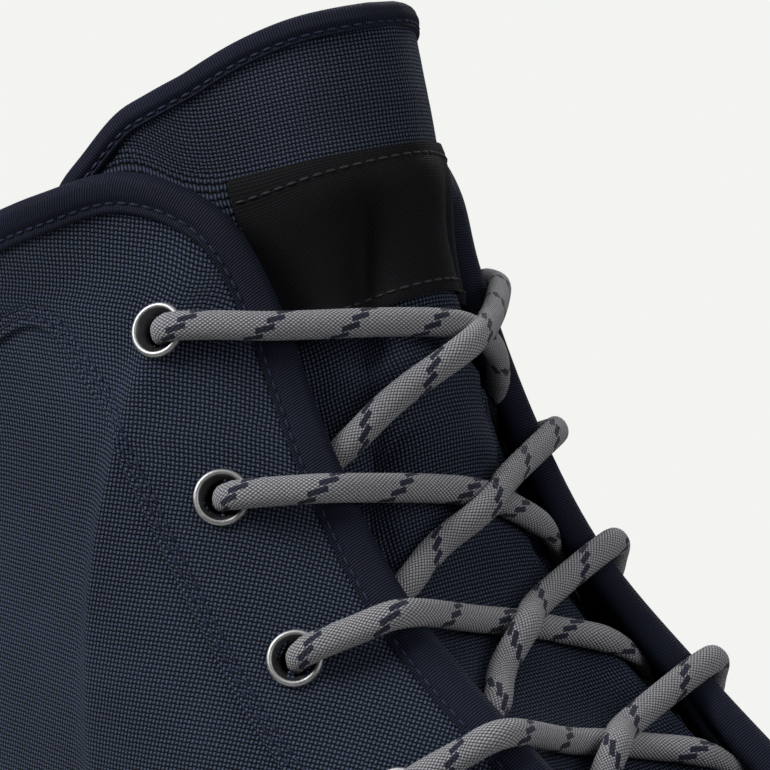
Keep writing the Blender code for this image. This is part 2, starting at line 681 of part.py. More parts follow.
def make_tongue_binding(material):
    """The tape folded over the tongue's edge, from one wing over the top to the other."""
    last = len(TONGUE) - 1
    climb = [row / 2 for row in range(2 * TAPED_FROM, 2 * last + 1)]
    route = [(t, -tongue_half(t)) for t in climb] + [(t, tongue_half(t)) for t in climb[::-1]]
    points = np.array([tongue_face(t, s) for t, s in route])
    outline = tape_outline(TONGUE_TAPE, TAPE_GAP, -TONGUE_EDGE - TAPE_GAP)
    rings = []
    for place, (t, s) in enumerate(route):
        run = unit(points[min(place + 1, len(route) - 1)] - points[max(place - 1, 0)])
        look = unit(tongue_face(t, s, 1.0) - points[place])
        inwards = unit(np.cross(run, look))
        rings.append([points[place] + side * inwards + out * look for side, out in outline])
    return loft("tongue_binding", rings, material, capped=True)


def tongue_row_below_top(fall):
    """The tongue's row position `fall` millimetres below its top, down its middle line."""
    rows = np.linspace(len(TONGUE) - 1, 0, 129)
    arcs = arcs_of(np.array([tongue_face(t, 0.0) for t in rows]))
    return float(np.interp(fall, arcs, rows))


def make_label(material):
    rings = []
    for fall in np.linspace(LABEL_BELOW_TOP, LABEL_BELOW_TOP + LABEL_HEIGHT, LABEL_ROWS):
        t = tongue_row_below_top(fall)
        half = throat_half_round(t) - LABEL_SHORT
        places = np.linspace(-half, half, TONGUE_POINTS)
        outer = [tongue_face(t, s, LABEL_GAP + LABEL_THICK) for s in places]
        inner = [tongue_face(t, s, LABEL_GAP) for s in reversed(places)]
        rings.append(outer + inner)
    return loft("label", rings, material, capped=True)


def tongue_row_at(u):
    """The tongue's row position that lies across the throat at ring position u."""
    return float(np.interp(-u, -TONGUE_ROWS[:CROSSED_ROWS, 0], range(CROSSED_ROWS)))


def throat_half_round(t):
    """From the tongue's middle line to the facing's edge, measured round the tongue."""
    points, arcs = tongue_section(t)
    return arcs[-1 - len(points) // 4]


def on_facing(u, side, down, out):
    """A lace's middle where it lies on the facing: its place and where its face looks."""
    u = u if side < 0 else RING - u
    look = outward(u, down)
    return skin(u, down) + (PANEL_STEP + out + LACE_HEIGHT / 2 + CLEARANCE) * look, look


def on_tongue(u, share, out=0.0):
    """The same where it crosses the tongue, `share` of the way out to the facing's edge."""
    t = tongue_row_at(u)
    s = share * throat_half_round(t)
    look = tongue_face(t, s, 1.0) - tongue_face(t, s)
    return tongue_face(t, s) + (out + LACE_HEIGHT / 2) * look, look


def lace_run(number, side, over):
    """One lace of a crossing, from its eyelet to the facing's edge across the throat."""
    first, second = eyelet_positions()[number:number + 2]
    row = dict(zip(LACING_COLUMNS, LACING[number]))
    leaves, enters = (row[name] for name in (("leaves", "enters"), ("far", "slips"))[side > 0])

    def at(share):
        return first + (second - first) * share

    stops = [on_facing(at(LEAVES_EYELET), side, EYELET_INSET - EYELET_BORE / 2,
                       LACE_OVER_EYELET),
             on_facing(at(leaves * HALF_WAY), side, EYELET_INSET / 2, CLEARANCE),
             on_facing(at(leaves * AT_TAPE), side, TAPE_WIDTH, LACE_OVER_TAPE),
             on_facing(at(leaves), side, 0.0, LACE_OVER_TAPE),
             on_facing(at(leaves), side, -LACE_BEYOND, LACE_OVER_TAPE)]
    for across in np.linspace(LACE_MEETS_TONGUE, LACE_STOPS, LACE_STOP_COUNT):
        off = across * THROAT_HALF_GAP / CROSSING_WIDTH
        rise = over * (LACE_HEIGHT - LACE_JOIN) * math.exp(-off * off)
        rise += LACE_OFF_PAD + row["label"] * (LABEL_GAP + LABEL_THICK)
        fall = (leaves * (1 - across) + enters * (1 + across)) / 2
        fall += row["drop"] * (1 - across * across)
        stops.append(on_tongue(at(fall), -side * across, rise))
    return stops


def make_lace(material):
    """Five crossings, each two laces joined where they touch, and the bar at the foot."""
    for number in range(EYELETS_A_SIDE - 1):
        under, over = (loft(f"lace_crossing_{number + 1}", lace_rings(
            lace_run(number, side, over)), material, capped=True)
            for side, over in ((-1, 0), (1, 1)))
        combine(under, over, "UNION")
    last = eyelet_positions()[-1]
    reach = [(EYELET_INSET - EYELET_BORE / 2, LACE_OVER_EYELET),
             (EYELET_INSET / 2, CLEARANCE), (TAPE_WIDTH, LACE_OVER_TAPE),
             (0.0, LACE_OVER_TAPE + BAR_LIFT)]
    near = [on_facing(last, -1, down, out) for down, out in reach]
    far = [on_facing(last, 1, down, out) for down, out in reversed(reach)]
    middle = [tuple(near[-1][k] + (far[0][k] - near[-1][k]) * share for k in (0, 1))
              for share in (0.25, 0.5, 0.75)]
    loft("lace_bar", lace_rings(near + middle + far), material, capped=True)


def lace_rings(stops):
    """Rings round a flattish lace through (place, look) stops."""
    rings = []
    points = [point for point, _ in stops]
    for place, (point, look) in enumerate(stops):
        run = unit(points[min(place + 1, len(points) - 1)] - points[max(place - 1, 0)])
        across = unit(np.cross(run, look))
        up = np.cross(across, run)
        rings.append([point + LACE_WIDTH / 2 * math.cos(turn) * across
                      + LACE_HEIGHT / 2 * math.sin(turn) * up
                      for turn in np.linspace(0, 2 * math.pi, LACE_SIDES, endpoint=False)])
    return rings


def main():
    for old in list(bpy.data.objects):
        bpy.data.objects.remove(old, do_unlink=True)
    nylon = finish("navy_nylon", (0.020, 0.024, 0.042), 0.85)
    tape = finish("navy_tape", (0.012, 0.014, 0.026), 0.9)
    nickel = finish("dark_nickel", (0.28, 0.28, 0.28), 0.35, 1.0)
    make_upper(nylon)
    make_binding(tape)
    make_eyelets(nickel)
    make_tongue(finish("tongue_nylon", (0.030, 0.034, 0.052), 0.85))
    make_tongue_binding(tape)
    make_label(finish("black_label", (0.01, 0.01, 0.01), 0.8))
    make_lace(finish("grey_lace", (0.30, 0.30, 0.30), 0.9))
    make_midsole(finish("dark_foam", (0.05, 0.05, 0.055), 0.7))
    make_outsole(finish("black_rubber", (0.02, 0.02, 0.02), 0.75))
    make_insole(finish("grey_board", (0.12, 0.12, 0.12), 0.9))


main()
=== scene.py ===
# %% [markdown]
# # A wading boot, dressed for its picture
#
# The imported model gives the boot's solids. This script builds what the eye sees around them:
# woven nylon, ribbed tape, rows of stitches, rolled eyelets, a braided lace and a rubber sole.
# Every surface starts as one of bmesh's own shapes and is lifted into place.

# %% The frame and its box
import functools
import math

import bmesh
import bpy
import numpy as np
from mathutils import Matrix, Vector


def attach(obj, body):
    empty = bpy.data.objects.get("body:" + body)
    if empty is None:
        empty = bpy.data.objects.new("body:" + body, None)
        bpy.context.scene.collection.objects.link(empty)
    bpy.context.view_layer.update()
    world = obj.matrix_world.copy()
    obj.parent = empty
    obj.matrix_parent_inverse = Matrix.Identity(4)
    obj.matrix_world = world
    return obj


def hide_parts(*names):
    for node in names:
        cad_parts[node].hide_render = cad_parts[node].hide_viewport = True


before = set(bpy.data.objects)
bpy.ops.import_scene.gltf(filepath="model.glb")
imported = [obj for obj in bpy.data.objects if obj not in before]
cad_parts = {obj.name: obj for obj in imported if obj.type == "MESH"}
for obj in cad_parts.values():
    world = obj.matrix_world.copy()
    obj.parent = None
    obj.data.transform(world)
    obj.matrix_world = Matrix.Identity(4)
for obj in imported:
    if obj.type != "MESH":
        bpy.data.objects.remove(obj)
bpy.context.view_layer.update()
MM = 0.001

# %% [markdown]
# The camera stands low in front of the boot's outer side and sees it from close by, so that
# only the collar, the throat and the laces fill the square picture. Its place follows from one
# point that can be found in the picture, the middle of the top eyelet.

# %% The camera
VIEW_AZIMUTH, VIEW_ELEVATION = math.radians(42.5), math.radians(9.0)
DISTANCE = 0.55
PICTURE_PIXELS = 770
PIXELS_PER_METRE = 6200.0
TOP_EYELET = Vector((-0.04996, -0.03531, 0.17316))
TOP_EYELET_PIXEL = (162, 331)
SENSOR = 36.0

toward = Vector((math.sin(VIEW_AZIMUTH) * math.cos(VIEW_ELEVATION),
                 -math.cos(VIEW_AZIMUTH) * math.cos(VIEW_ELEVATION), math.sin(VIEW_ELEVATION)))
right = Vector((math.cos(VIEW_AZIMUTH), math.sin(VIEW_AZIMUTH), 0.0))
upward = right.cross(-toward)
half_picture = PICTURE_PIXELS / 2
target = (TOP_EYELET + right * (half_picture - TOP_EYELET_PIXEL[0]) / PIXELS_PER_METRE
          - upward * (half_picture - TOP_EYELET_PIXEL[1]) / PIXELS_PER_METRE)

camera_data = bpy.data.cameras.new("camera")
camera_data.sensor_width = SENSOR
camera_data.lens = SENSOR * DISTANCE * PIXELS_PER_METRE / PICTURE_PIXELS
camera_data.clip_start = 0.01
camera = bpy.data.objects.new("camera", camera_data)
camera.matrix_world = (Matrix.Translation(target + toward * DISTANCE)
                       @ Matrix((right, upward, toward)).transposed().to_4x4())
bpy.context.collection.objects.link(camera)
bpy.context.scene.camera = camera
print("lens", round(camera_data.lens, 1), "mm")

# %% [markdown]
# A product picture is lit by large soft lamps. The main one stands to the camera's left and
# high, so the rims of the eyelets shine on that side. A weaker one on the right keeps the
# shadow side readable, and one from behind draws the edges. The room itself is pale to look
# at, but lights the boot only faintly: all round light would wash out a dark weave.

# %% Light, floor and background
SCENE_MIDDLE = Vector((-0.02, 0.0, 0.14))


def soft_lamp(name, azimuth, elevation, distance, size, power):
    """A square lamp that looks at the boot. Its azimuth is counted from the camera's."""
    turn, rise = VIEW_AZIMUTH + math.radians(azimuth), math.radians(elevation)
    away = Vector((math.sin(turn) * math.cos(rise), -math.cos(turn) * math.cos(rise),
                   math.sin(rise)))
    data = bpy.data.lights.new(name, "AREA")
    data.size, data.energy = size, power
    lamp = bpy.data.objects.new(name, data)
    lamp.location = SCENE_MIDDLE + away * distance
    lamp.rotation_euler = away.to_track_quat("Z", "Y").to_euler()
    bpy.context.collection.objects.link(lamp)


soft_lamp("key", -78, 38, 1.1, 0.5, 19)
soft_lamp("fill", 50, 25, 1.4, 0.9, 11)
soft_lamp("top", 10, 80, 1.2, 0.8, 3.5)
soft_lamp("rim", 165, 35, 1.3, 0.7, 8)

scene = bpy.context.scene
scene.view_settings.view_transform = "Standard"
world = bpy.data.worlds.new("pale room")
scene.world = world
world.use_nodes = True
ROOM = (0.896, 0.905, 0.880, 1.0)
ROOM_LIGHT = 0.20
room = world.node_tree.nodes["Background"]
room.inputs["Color"].default_value = ROOM
seen = world.node_tree.nodes.new("ShaderNodeLightPath")
brightness = world.node_tree.nodes.new("ShaderNodeMapRange")
brightness.inputs["To Min"].default_value = ROOM_LIGHT
brightness.inputs["To Max"].default_value = 1.0
world.node_tree.links.new(seen.outputs["Is Camera Ray"], brightness.inputs["Value"])
world.node_tree.links.new(brightness.outputs["Result"], room.inputs["Strength"])

FLOOR_RADIUS, FLOOR_FADES, FLOOR_SIDES = 0.34, 0.20, 96
floor_form = bmesh.new()
bmesh.ops.create_circle(floor_form, cap_ends=True, segments=FLOOR_SIDES, radius=FLOOR_RADIUS)
floor_mesh = bpy.data.meshes.new("floor")
floor_form.to_mesh(floor_mesh)
floor_form.free()
floor = bpy.data.objects.new("floor", floor_mesh)
bpy.context.collection.objects.link(floor)

# %% [markdown]
# Materials are sums. A weave, a braid and a ribbed tape are all regular patterns, so each is
# a formula on the cloth's own coordinates. Writing such formulas as Python sums keeps them
# short: the class below wraps a socket, and every operator adds the Math node that it needs.


# %% Sums on sockets
def reckoner(operation):
    """A method that adds the Math node of one operation."""
    return lambda self, other: self.reckon(operation, other)


class Wire:
    """A number that varies over a surface, and that takes part in Python sums."""

    def __init__(self, finish, socket):
        self.finish, self.socket = finish, socket

    def reckon(self, operation, *others):
        values = dict(enumerate((self, *others)))
        return self.finish.add("ShaderNodeMath", {"operation": operation}, values)

    __add__ = __radd__ = reckoner("ADD")
    __mul__ = __rmul__ = reckoner("MULTIPLY")
    __sub__, __truediv__ = reckoner("SUBTRACT"), reckoner("DIVIDE")
    __mod__, __pow__ = reckoner("FLOORED_MODULO"), reckoner("POWER")
    __lt__, __gt__ = reckoner("LESS_THAN"), reckoner("GREATER_THAN")

    def __rsub__(self, other):
        return self * -1 + other

    def hump(self):
        """The half wave over each whole number: 0 at the ends and 1 in the middle."""
        return (self * math.pi).reckon("SINE").reckon("ABSOLUTE")


class Finish:
    """A material, one method that adds any node, and the blends that the finishes share."""

    def __init__(self, name, roughness, **constants):
        self.material = bpy.data.materials.new(name)
        self.material.use_nodes = True
        self.tree = self.material.node_tree
        self.shader = self.tree.nodes["Principled BSDF"]
        for socket, value in {"Roughness": roughness, **constants}.items():
            self.feed(self.shader.inputs[socket.replace("_", " ")], value)

    def feed(self, socket, value):
        if isinstance(value, Wire):
            self.tree.links.new(value.socket, socket)
        else:
            socket.default_value = value

    def add(self, kind, settings, values, output=0):
        node = self.tree.nodes.new(kind)
        for name, value in settings.items():
            setattr(node, name, value)
        for name, value in values.items():
            self.feed(node.inputs[name], value)
        return Wire(self, node.outputs[output])

    def threads(self):
        """The cloth's own coordinates, in millimetres along and across."""
        place = self.add("ShaderNodeUVMap", {"uv_map": "threads"}, {})
        parts = self.tree.nodes.new("ShaderNodeSeparateXYZ")
        self.tree.links.new(place.socket, parts.inputs[0])
        return Wire(self, parts.outputs[0]), Wire(self, parts.outputs[1])

    def cloud(self, scale, detail=2.0, stretch=(1, 1, 1)):
        """Soft noise through the object, from 0 to 1. Its scale is in blobs per metre."""
        place = self.add("ShaderNodeTexCoord", {}, {}, "Object")
        place = self.add("ShaderNodeMapping", {}, {"Vector": place, "Scale": stretch})
        return self.add("ShaderNodeTexNoise", {}, {"Vector": place, "Scale": scale,
                                                   "Detail": detail})

    def blend(self, share, first, second):
        """From one colour to the other, as share goes from 0 to 1."""
        ends = {6: first if isinstance(first, Wire) else (*first, 1),
                7: second if isinstance(second, Wire) else (*second, 1)}
        return self.add("ShaderNodeMix", {"data_type": "RGBA"}, {0: share, **ends}, 2)

    def wear(self, colour=None, height=None, depth=0.1, roughness=None):
        """Links colour, relief (height 1 stands `depth` millimetres proud) and roughness."""
        if colour is not None:
            self.feed(self.shader.inputs["Base Color"], colour)
        if roughness is not None:
            self.feed(self.shader.inputs["Roughness"], roughness)
        if height is not None:
            bump = self.add("ShaderNodeBump", {}, {"Height": height, "Strength": 1.0,
                                                   "Distance": depth * MM})
            self.feed(self.shader.inputs["Normal"], bump)
        return self.material

# %% [markdown]
# The upper of a boot is drawn as a row of girth lines: each runs from the top edge down to the
# feather line, where the upper meets the sole. The table has one row for each line, from the
# back of the heel to the toe, and a smooth curve through the rows gives every line between
# them. All of this is in millimetres, in the last's own frame.

# %% The last
FOOT_LENGTH, BALL_WIDTH, COLLAR_HEIGHT, THROAT_HALF_GAP = 296.0, 110.0, 197.0, 26.0
HEEL_HEIGHT, BALL_HEIGHT, TOE_SPRING = 34.0, 25.0, 13.0
WALL, PANEL_STEP, PANEL_WIDTH = 3.0, 0.8, 32.0
FLARE, EDGE_EASE, GIRTH_POINTS = 0.12, 2.2, 65
EVEN_IN, EVEN_OUT, EVEN_EDGES = (2.2, 3.8), (5.5, 6.6), (0.12, 0.15)
EVEN_STEPS = ((-1.6, 0.15), (-0.8, 0.22), (0.0, 0.26), (0.8, 0.22), (1.6, 0.15))
SOLE_LIP, ARCH_RISE, LUG_HEIGHT, OUTSOLE_BASE = 5.0, 6.0, 5.0, 4.0
# shares of the foot's length: where each begins, or the arch ends, and how long it takes
TOE_LIFTS, HEEL_FALLS = (0.72, 0.30), (0.18, 0.42)
ARCH_RISES, ARCH_ENDS = (0.25, 0.06), (0.50, 0.08)
OUTLINE_POINTS = 241
LOOK_ACROSS, LOOK_DOWN = 0.04, 1.5

GIRTH_COLUMNS = ("foot_x", "lateral", "medial", "top_x", "top_half", "top_z",
                 "turn", "tilt", "reach", "rise", "panel")
GIRTHS = [
    (0.014, 0.000, 0.000, 0.044, 0.00, 0.900, 180, -14, 0.38, 0.32, 0.64),
    (0.030, 0.160, 0.160, 0.060, 0.95, 0.900, 136, -13, 0.38, 0.32, 0.64),
    (0.074, 0.285, 0.285, 0.120, 1.50, 0.908, 108, -11, 0.38, 0.32, 0.64),
    (0.150, 0.355, 0.350, 0.200, 1.68, 0.940, 92, -8, 0.38, 0.32, 0.64),
    (0.228, 0.373, 0.352, 0.268, 1.63, 0.978, 80, -4, 0.38, 0.32, 0.66),
    (0.284, 0.382, 0.345, 0.318, 1.38, 1.000, 60, 0, 0.36, 0.32, 1.04),
    (0.330, 0.388, 0.338, 0.363, 1.10, 0.973, 42, 5, 0.33, 0.34, 1.19),
    (0.376, 0.396, 0.330, 0.391, 0.95, 0.905, 42, 11, 0.32, 0.36, 1.18),
    (0.448, 0.418, 0.328, 0.434, 0.94, 0.782, 48, 18, 0.32, 0.38, 1.07),
    (0.522, 0.450, 0.352, 0.487, 0.94, 0.675, 54, 24, 0.32, 0.40, 1.03),
    (0.604, 0.482, 0.408, 0.564, 0.93, 0.584, 56, 29, 0.32, 0.40, 1.00),
    (0.694, 0.500, 0.468, 0.644, 0.87, 0.506, 60, 34, 0.32, 0.40, 1.00),
    (0.788, 0.486, 0.492, 0.704, 0.75, 0.450, 60, 42, 0.34, 0.40, 0.90),
    (0.876, 0.424, 0.466, 0.732, 0.58, 0.436, 50, 52, 0.36, 0.40, 0.76),
    (0.958, 0.310, 0.365, 0.747, 0.33, 0.433, 30, 62, 0.40, 0.40, 0.66),
    (1.014, -0.050, 0.050, 0.752, 0.00, 0.432, 0, 68, 0.44, 0.40, 0.62),
]
HALF_RING = len(GIRTHS) - 1
RING = 2 * HALF_RING


def eased(share):
    share = np.clip(share, 0, 1)
    return share * share * (3 - 2 * share)


def toe_lift(x):
    """How far the front of the sole curls up from the floor."""
    share = np.clip((x / FOOT_LENGTH - TOE_LIFTS[0]) / TOE_LIFTS[1], 0, 1.1)
    return TOE_SPRING * share * share


def sole_top(x):
    """Height of the sole's upper face, where the feather line and the insole lie."""
    fall = (HEEL_HEIGHT - BALL_HEIGHT) * eased((x / FOOT_LENGTH - HEEL_FALLS[0]) / HEEL_FALLS[1])
    return HEEL_HEIGHT - fall + toe_lift(x)


def floor_line(x):
    """Height of the lugs' feet: down at heel and ball, raised under the arch and the toe."""
    share = x / FOOT_LENGTH
    up = eased((share - ARCH_RISES[0]) / ARCH_RISES[1])
    down = eased((ARCH_ENDS[0] - share) / ARCH_ENDS[1])
    return ARCH_RISE * up * down + toe_lift(x)


def girth_rings():
    """The table's columns as rings: lateral side out to the toe, medial side back."""
    order = list(range(HALF_RING + 1)) + list(range(HALF_RING - 1, 0, -1))
    foot, top, look, other = [], [], [], []
    for place, index in enumerate(order):
        row = dict(zip(GIRTH_COLUMNS, GIRTHS[index]))
        side = -1 if place <= HALF_RING else 1
        width = row["medial"] if side > 0 else row["lateral"]
        x = row["foot_x"] * FOOT_LENGTH
        foot.append((x, side * width * BALL_WIDTH, sole_top(x)))
        top.append((row["top_x"] * FOOT_LENGTH, side * row["top_half"] * THROAT_HALF_GAP,
                    row["top_z"] * COLLAR_HEIGHT))
        turn, tilt = math.radians(row["turn"]), math.radians(row["tilt"])
        look.append((math.cos(turn) * math.cos(tilt), side * math.sin(turn) * math.cos(tilt),
                     math.sin(tilt)))
        other.append((row["reach"], row["rise"], row["panel"] * PANEL_WIDTH))
    return np.array(foot), np.array(top), np.array(look), np.array(other)


FOOT, TOP, LOOK, OTHER = girth_rings()


def smooth(a, b, c, d, t):
    """Between b and c on a smooth curve that also heeds a and d."""
    return 0.5 * (2 * b + (c - a) * t + (2 * a - 5 * b + 4 * c - d) * t * t
                  + (3 * b - a - 3 * c + d) * t ** 3)


def around(ring, u):
    """A closed ring's value at position u."""
    low = math.floor(u)
    return smooth(*(ring[(low + k) % RING] for k in (-1, 0, 1, 2)), u - low)


def between(rows, t):
    """An open table's value at row position t."""
    last = len(rows) - 1
    low = min(max(math.floor(t), 0), last - 1)
    return smooth(*(rows[min(max(low + k, 0), last)] for k in (-1, 0, 1, 2)), t - low)


def unit(vectors):
    return vectors / np.linalg.norm(vectors, axis=-1, keepdims=True)


def slope(ring, u, step):
    return unit(around(ring, u + step) - around(ring, u - step))


def arcs_of(points):
    return np.concatenate(([0], np.cumsum(np.linalg.norm(np.diff(points, axis=0), axis=1))))


def along(points, arcs, distance):
    return np.stack([np.interp(distance, arcs, points[:, axis]) for axis in range(3)], axis=-1)


def outward_in_plan(u):
    """Away from the foot, level, square to the feather line."""
    run = slope(FOOT, u, 0.05)
    return unit(np.array((run[1], -run[0], 0.0)))


@functools.lru_cache(maxsize=None)
def plain_girth(u):
    """Points down the girth line at ring position u, and its direction at the top edge."""
    foot, top = around(FOOT, u), around(TOP, u)
    reach, rise, _ = around(OTHER, u)
    chord = np.linalg.norm(top - foot)
    down = unit(np.cross(slope(TOP, u, EDGE_EASE), around(LOOK, u)))
    up = unit(np.array((0, 0, 1.0)) + FLARE * outward_in_plan(u))
    near_top = top + chord * rise * down
    near_foot = foot + chord * reach * up
    t = np.linspace(0, 1, GIRTH_POINTS)[:, None]
    points = ((1 - t) ** 3 * top + 3 * (1 - t) ** 2 * t * near_top
              + 3 * (1 - t) * t * t * near_foot + t ** 3 * foot)
    return points, down


@functools.lru_cache(maxsize=None)
def girth_line(u):
    """The girth line, evened out with its neighbours beside the throat, and its arcs."""
    points, down = plain_girth(u)
    near = min(u, RING - u)
    strength = (eased((near - EVEN_IN[0]) / (EVEN_IN[1] - EVEN_IN[0]))
                * eased((EVEN_OUT[1] - near) / (EVEN_OUT[1] - EVEN_OUT[0])))
    if strength > 0:
        t = np.linspace(0, 1, len(points))
        strength = strength * eased(t / EVEN_EDGES[0]) * eased((1 - t) / EVEN_EDGES[1])
        even = sum(weight * plain_girth(round(u + step, 4))[0] for step, weight in EVEN_STEPS)
        points = points + strength[:, None] * (even - points)
    return points, arcs_of(points), down


def girth(u):
    return girth_line(round(u % RING, 4))


def girth_length(u):
    return girth(u)[1][-1]


def skin(u, down):
    """Points of the upper's face on girth line u, `down` millimetres below its top edge."""
    points, arcs, direction = girth(u)
    return along(points, arcs, down) + np.minimum(down, 0)[..., None] * direction


def outward(u, down):
    """The directions in which the upper's face looks there."""
    length = girth_length(u)
    level = np.clip(down, 0, length)
    across = skin(u + LOOK_ACROSS, level) - skin(u - LOOK_ACROSS, level)
    below = (skin(u, np.minimum(level + LOOK_DOWN, length))
             - skin(u, np.maximum(level - LOOK_DOWN, 0)))
    return unit(np.cross(below, across))


def wall(u, down, out=0.0):
    """Points `out` millimetres outside the upper's face."""
    down = np.asarray(down, dtype=float)
    return skin(u, down) + np.asarray(out, dtype=float)[..., None] * outward(u, down)


def overall_middle():
    """The middle of the sole's box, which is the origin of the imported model."""
    edge = np.array([sole_edge(u, SOLE_LIP) for u in np.linspace(0, RING, OUTLINE_POINTS)])
    return np.array(((edge[:, 0].min() + edge[:, 0].max()) / 2,
                     (edge[:, 1].min() + edge[:, 1].max()) / 2, 0.0))


def sole_edge(u, grow):
    """A point of the sole's outline, `grow` millimetres out from the feather line."""
    return around(FOOT, u) + grow * outward_in_plan(u)


MIDDLE = overall_middle()
print("middle of the last:", MIDDLE.round(2))

# %% [markdown]
# Cloth begins as bmesh's flat grid, and each of its points is lifted to its place on the boot,
# as an upper is pulled over a last. The same grid carries the cloth's own coordinates in a UV
# map, in millimetres, so a weave follows every curve at its true size.


# %% Lifting a grid
WELD, SLIVER = 1e-6, 1e-7
SHARP = math.radians(50)


def lift(places, threads, inner_from=None):
    """A bmesh grid with its points at places[row, column] and its UVs at threads, in mm.

    From column `inner_from` on, its faces take the second material."""
    places = np.array(places)
    rows, columns = places.shape[:2]
    form = bmesh.new()
    layer = form.loops.layers.uv.new("threads")
    bmesh.ops.create_grid(form, x_segments=columns - 1, y_segments=rows - 1, size=1.0)
    cell = {vert: (round((vert.co.y + 1) / 2 * (rows - 1)),
                   round((vert.co.x + 1) / 2 * (columns - 1))) for vert in form.verts}
    for face in form.faces:
        for loop in face.loops:
            row, column = cell[loop.vert]
            loop[layer].uv = threads[row][column]
        if inner_from is not None:
            face.material_index = int(min(cell[vert][1] for vert in face.verts) >= inner_from)
    for vert, spot in cell.items():
        vert.co = (places[spot] - MIDDLE) * MM
    bmesh.ops.remove_doubles(form, verts=form.verts, dist=WELD)
    bmesh.ops.dissolve_degenerate(form, edges=form.edges, dist=SLIVER)
    return form


def closed(form):
    """The same bmesh with its open ends filled."""
    bmesh.ops.holes_fill(form, edges=[edge for edge in form.edges if edge.is_boundary], sides=0)
    return form


def ribbon_threads(section, run):
    """UVs of one section of a ribbon or cord that lies `run` millimetres along it."""
    return np.stack((np.full(len(section), run), arcs_of(section)), axis=-1)


def piece(name, form, materials, stands_for=(), inside_out=None):
    """A shaded object from a bmesh, which rides on the boot and stands for its CAD nodes."""
    bmesh.ops.recalc_face_normals(form, faces=form.faces)
    if form.calc_volume(signed=True) < 0 if inside_out is None else inside_out:
        bmesh.ops.reverse_faces(form, faces=form.faces)
    mesh = bpy.data.meshes.new(name)
    form.to_mesh(mesh)
    form.free()
    mesh.shade_smooth()
    mesh.set_sharp_from_angle(angle=SHARP)
    for material in materials:
        mesh.materials.append(material)
    made = bpy.data.objects.new(name, mesh)
    bpy.context.collection.objects.link(made)
    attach(made, "root")
    if stands_for:
        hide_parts(*stands_for)
    print(name, len(mesh.polygons), "faces")
    return made


# %% [markdown]
# The nylon is a plain weave of coarse yarn: each yarn goes over one and under the next. In the
# formula every crossing is a small pillow, longer along the yarn that lies on top, and the two
# directions take turns as on a chessboard. Its colour is painted: near black in the gaps as
# painted shade, lighter on the pillows' tops and lighter still on the yarn on top as painted
# highlight.

# %% Woven nylon
YARN = 0.72


def woven(name, deep, light, yarn=YARN, depth=0.28, roughness=0.6, sheen=0.01):
    finish = Finish(name, roughness, Sheen_Weight=sheen, Sheen_Roughness=0.45,
                    Sheen_Tint=(0.55, 0.68, 0.95, 1), Specular_IOR_Level=0.05)
    x, y = finish.threads()
    sway = finish.cloud(260, 2)
    x, y = x / yarn + sway * 0.5, y / yarn + sway * 0.4
    over = ((x.reckon("FLOOR") + y.reckon("FLOOR")) % 2) > 0.5
    wide, high = x.hump(), y.hump()
    pillow = over * wide * high ** 0.35 + (1 - over) * high * wide ** 0.35
    fibres = finish.cloud(5200, 1)
    patches = finish.cloud(45, 3)
    # painted shade and highlight: the colour goes near black in the gaps and light on the
    # pillows' tops, over random fibres and patches
    tone = pillow * pillow * (0.60 + over * 0.20 + fibres * 0.45) + patches * 0.24 - 0.14
    colour = finish.blend(tone.reckon("MAXIMUM", 0.0), deep, light)
    return finish.wear(colour, pillow + fibres * 0.25, depth, roughness + 0.10 - pillow * 0.16)


# near black for the painted shade in the weave's gaps, lighter navy for the yarn's tops with
# painted highlight
NAVY_GAP_SHADE, NAVY_LIT_YARN = (0.0008, 0.0010, 0.0022), (0.052, 0.068, 0.110)
quarter_nylon = woven("quarter nylon", NAVY_GAP_SHADE, NAVY_LIT_YARN)
tongue_nylon = woven("tongue nylon", NAVY_GAP_SHADE, (0.048, 0.062, 0.100), 0.66)
lining_cloth = woven("lining cloth", (0.0015, 0.0015, 0.0020), (0.0075, 0.0075, 0.0090), 0.5,
                     0.10, 0.85, 0.05)

# %% [markdown]
# The upper is one shell with a real wall. Its section is the same all the way round: up the
# outside, over the panel's folded edge, over the top, and down the lining. The panel round
# the collar and the eyelets is a second layer of nylon, so the wall has a step there, with two
# rows of stitches sunk into it. Soft creases, listed one by one, are pressed in where a boot
# flexes.

# %% The upper's shell
AROUND = np.arange(0, 10 * RING + 1) / 10
STITCH_ROWS = (1.6, 3.4)
STITCH_SINK = 0.22
CREASES = [
    (9.4, 74, 11.4, 58, 7, 1.3), (10.6, 80, 12.6, 56, 6, 1.0), (12.2, 74, 13.6, 50, 6, 0.8),
    (1.0, 92, 3.6, 84, 8, 0.9),
    (20.6, 74, 18.6, 58, 7, 1.2), (19.4, 80, 17.4, 56, 6, 1.0), (25.6, 120, 22.0, 92, 9, 1.5),
    (26.6, 96, 22.8, 78, 8, 1.0),
]


@functools.lru_cache(maxsize=None)
def ring_arcs():
    """Lengths along the top edge and the feather line at every tenth of a ring position."""
    top = arcs_of(np.array([around(TOP, u) for u in AROUND]))
    foot = arcs_of(np.array([around(FOOT, u) for u in AROUND]))
    return top, foot


def round_the_boot(u, down):
    """How far round the boot a thread lies, in millimetres."""
    top, foot = (np.interp(u % RING if u != RING else u, AROUND, arcs) for arcs in ring_arcs())
    return top + (foot - top) * np.clip(down / girth_length(u), 0, 1)


def pressed(u, down):
    """How far the soft creases push the wall in or out there, in millimetres."""
    here = np.stack((round_the_boot(u, down), down), axis=-1)
    push = np.zeros(len(down))
    for u1, down1, u2, down2, width, depth in CREASES:
        start = np.array((round_the_boot(u1, down1), down1))
        run = np.array((round_the_boot(u2, down2), down2)) - start
        share = np.clip((here - start) @ run / (run @ run), 0, 1)
        off = np.linalg.norm(here - start - share[:, None] * run, axis=1) / width
        fade = np.sin(np.pi * np.clip(share, 0.02, 0.98)) ** 0.7
        push += depth * fade * (0.5 * np.exp(-(off - 1.1) ** 2 * 2) - np.exp(-off * off * 2))
    return push


